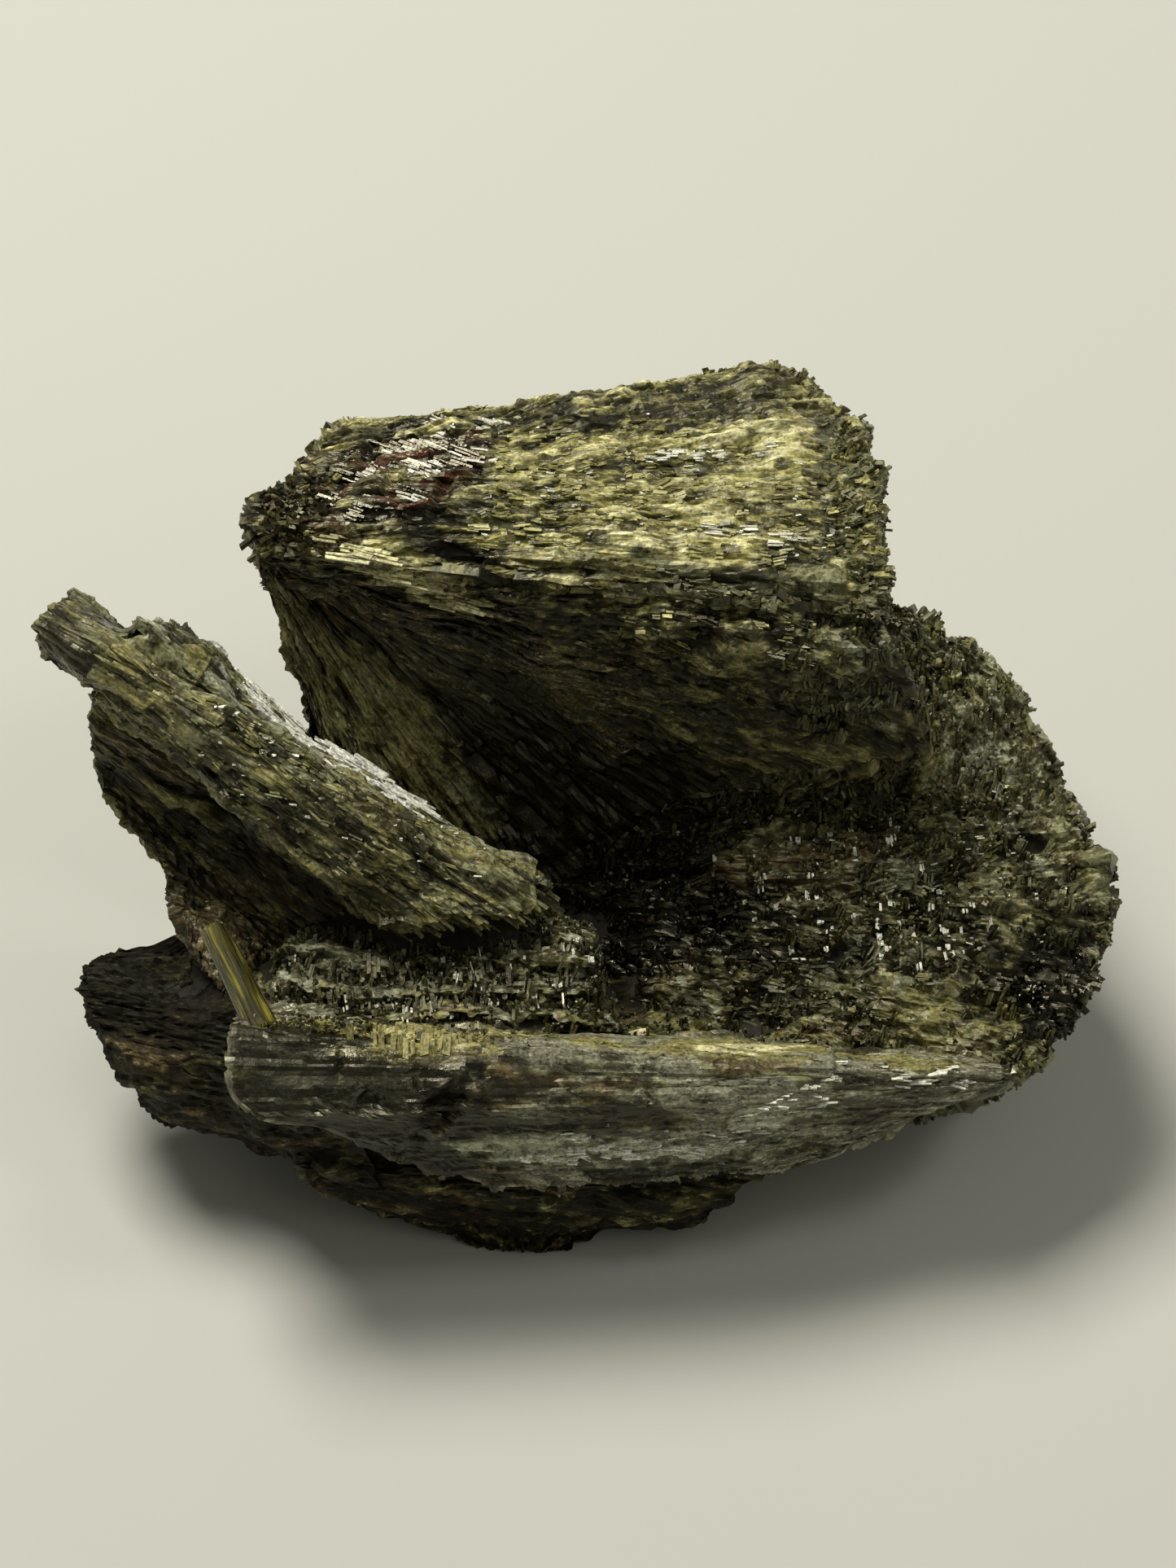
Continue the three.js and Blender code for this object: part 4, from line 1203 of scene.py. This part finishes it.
            (-26, -7.8, -5, -20, -8, -5, 3, 6), (-31.7, -9.2, -4, -20, -10, -3, 2, 7),
            (-32.1, -10.8, -2, -19, -12.5, 2, 4, 10), (-31, -13.7, -1, -17, -16.5, 4, 6, 12),
            (-29.2, -16.7, -2, -15, -19.5, 4, 6, 12), (-27.2, -18.9, -4, -14, -21.5, 2, 3, 9),
            (-23.5, -19.7, -6, -12.5, -23.6, -2, 2, 5),
        ],
        "shades": [("brown", 0.6), ("dark", 0.7)],
    },
    "foot_slab": {
        # painted a little darker all over: painted shade
        "crown": 0.5, "back": (0, 0.1, -1), "coarse": 1.4, "finish": "massive", "pale": -0.15, "dull": True,
        "rows": [
            (-18.5, -20, 0, 9.5, -21.3, 2, 6, 8), (-18.7, -21.3, 1.5, 9.3, -22.3, 1.5, 7, 8),
            (-17.3, -23, 0.5, 7.6, -24.2, 0.5, 6, 7), (-14.3, -24.6, -1.5, 6.1, -25.5, -1.5, 5, 5),
            (-9.6, -26.1, -3.5, 0, -25.7, -3, 4, 4), (-7.3, -27, -4, -2.4, -27.2, -4, 3, 3),
        ],
        "shades": [("brown", 0.5), ("dark", 0.6), ("olive", 0.2)],
    },
    "heel": {
        "crown": -1, "back": (0, -0.1, -1), "finish": "massive", "dull": True, "coarse": 2.4,
        "rows": [
            (-6, -2.5, -17, 11, -2.5, -17, 6, 6), (-13, -7.5, -14, 19, -5.5, -13, 8, 8),
            (-16.5, -11.5, -8, 22, -9, -8, 12, 12), (-16, -16.5, -3, 22, -12.5, -4, 14, 14),
            (-13.5, -21.5, -2, 13.5, -18.5, -2, 12, 12), (-10, -24, -3, 3, -24, -3, 10, 10),
        ],
        "shades": [("brown", 0.5), ("dark", 0.5), ("olive", 0.2)],
    },
}


firstSeed = 11


def growSheaf(name, sheaf, seed):
    rng = np.random.default_rng(seed)
    pieces = [growShell(name, sheaf, rng)]
    parts = [crystalsOn(sheaf, rng, *laid) for laid in sheaf.get("laid", [])]
    if parts:
        crystals = {key: np.concatenate([part[key] for part in parts]) for key in parts[0]}
        pieces.append(joinedBlades(name + "_blades", crystals, rng))
    for piece in pieces:
        piece.data.materials.append(dullEpidote if "dull" in sheaf else epidote)
        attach(piece, "root")
        print(piece.name, len(piece.data.loops) - 2 * len(piece.data.polygons), "triangles")


for seed, (name, sheaf) in enumerate(sheaves.items(), firstSeed):
    growSheaf(name, sheaf, seed)

# one clear crystal that leans against the cluster, in millimetres in the display frame
leaning = {
    "foot": (-20.4, -13.1, 7.4), "tip": (-23.7, -6.9, 3.6), "width": 2.3, "thick": 1.7,
    "facing": (0.5, 0.1, 1), "sides": 8, "taper": 0.8, "bevel": 0.08, "cuts": 3, "uneven": (2.2, 0.12),
    "clear": 0.25, "ior": 1.4, "rough": (0.35, 0.5), "ridge": 0.1, "sheenTint": (1, 0.93, 0.6),
    "absorbs": (0.75, 0.7, 0.15), "density": 500, "streaks": (24, 4.5, 1),
    "stops": [(0.36, (0.01, 0.009, 0.001)), (0.53, (0.075, 0.066, 0.007)), (0.7, (0.36, 0.32, 0.05))],
}


def growLeaning():
    piece = addRod(leaning["sides"])
    piece.name = "leaning_crystal"
    with editing(piece):
        bpy.ops.mesh.bevel(offset=leaning["bevel"], segments=2, affect="EDGES")
        bpy.ops.mesh.subdivide(number_cuts=leaning["cuts"])
    foot, tip = np.array(leaning["foot"]), np.array(leaning["tip"])
    axis = unit((tip - foot)[None])[0]
    facing = unit(np.array([leaning["facing"]]) - axis * np.dot(leaning["facing"], axis))[0]
    side = np.cross(axis, facing)
    x, y, z = np.array([v.co for v in piece.data.vertices]).T
    narrow = 1 + (leaning["taper"] - 1) * np.clip(z + 0.5, 0, 1)
    points = (foot + tip) / 2 + np.outer(x * narrow * leaning["width"], side)
    points = points + np.outer(y * narrow * leaning["thick"], facing) + np.outer(z, tip - foot)
    size, height = leaning["uneven"]
    points = points + np.outer(height * lumps(points, size), facing)
    fill(piece.data.vertices, "co", toWorld(points))
    piece.data.update()
    piece.data.shade_flat()
    material, start = newMaterial("clear_epidote")
    around = start.add("ShaderNodeUVMap", {"uv_map": "UVMap"}, {}, "UV")
    along = start.add("ShaderNodeMapping", {}, {"Vector": around, "Scale": leaning["streaks"]})
    cloud = start.noise(along, 1, 4, kind="2D")
    absorbs = {"Color": (*leaning["absorbs"], 1), "Density": leaning["density"]}
    start.surface({
        "Base Color": start.add("ShaderNodeValToRGB", {"stops": leaning["stops"]}, {"Fac": cloud}),
        "Roughness": leaning["rough"][0] + cloud * leaning["rough"][1], "IOR": leaning["ior"],
        "Specular Tint": (*leaning["sheenTint"], 1), "Transmission Weight": leaning["clear"],
        "Normal": start.bump(cloud, leaning["ridge"]),
    }, Volume=start.add("ShaderNodeVolumeAbsorption", {}, absorbs))
    piece.data.materials.append(material)
    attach(piece, "root")
    print("leaning crystal grown")


growLeaning()

# the massive middle under the blades, in millimetres
core = {
    "shrink": 0.9, "voxel": 1.25, "merge": 0.001, "base": 0.4, "grain": 0.5, "ridge": 0.15, "rough": 0.8,
    # near-black: the dark of massive epidote, and also painted shade in the gaps between crystals where it
    # shows
    "stops": [(0.3, (0.006, 0.005, 0.003)), (0.7, (0.03, 0.026, 0.012))],
}


def growCore():
    middle = placed("massive_middle", cadMesh.copy())
    with editing(middle):
        bpy.ops.mesh.remove_doubles(threshold=core["merge"] * mm)
    for layer in list(middle.data.uv_layers):
        middle.data.uv_layers.remove(layer)
    middle.data.materials.clear()
    remesh = middle.modifiers.new("remesh", "REMESH")
    remesh.mode = "VOXEL"
    remesh.voxel_size = core["voxel"] * mm
    bpy.ops.object.modifier_apply(modifier=remesh.name)
    mesh = middle.data
    points = np.array([v.co for v in mesh.vertices])
    base = points[:, 2] < core["base"] * mm
    points -= np.array([v.normal for v in mesh.vertices]) * core["shrink"] * mm
    points[:, 2] = np.where(base, 0, np.maximum(points[:, 2], 0))
    fill(mesh.vertices, "co", points)
    mesh.update()
    material, start = newMaterial("massive_epidote")
    grain = start.noise(start.add("ShaderNodeTexCoord", {}, {}, "Object"), core["grain"] * mm, 5)
    start.surface({
        "Base Color": start.add("ShaderNodeValToRGB", {"stops": core["stops"]}, {"Fac": grain}),
        "Roughness": core["rough"], "Normal": start.bump(grain, core["ridge"]),
    })
    mesh.materials.append(material)
    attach(middle, "root")
    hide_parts("epidote_fan")
    print("massive middle", len(mesh.polygons), "faces")


growCore()
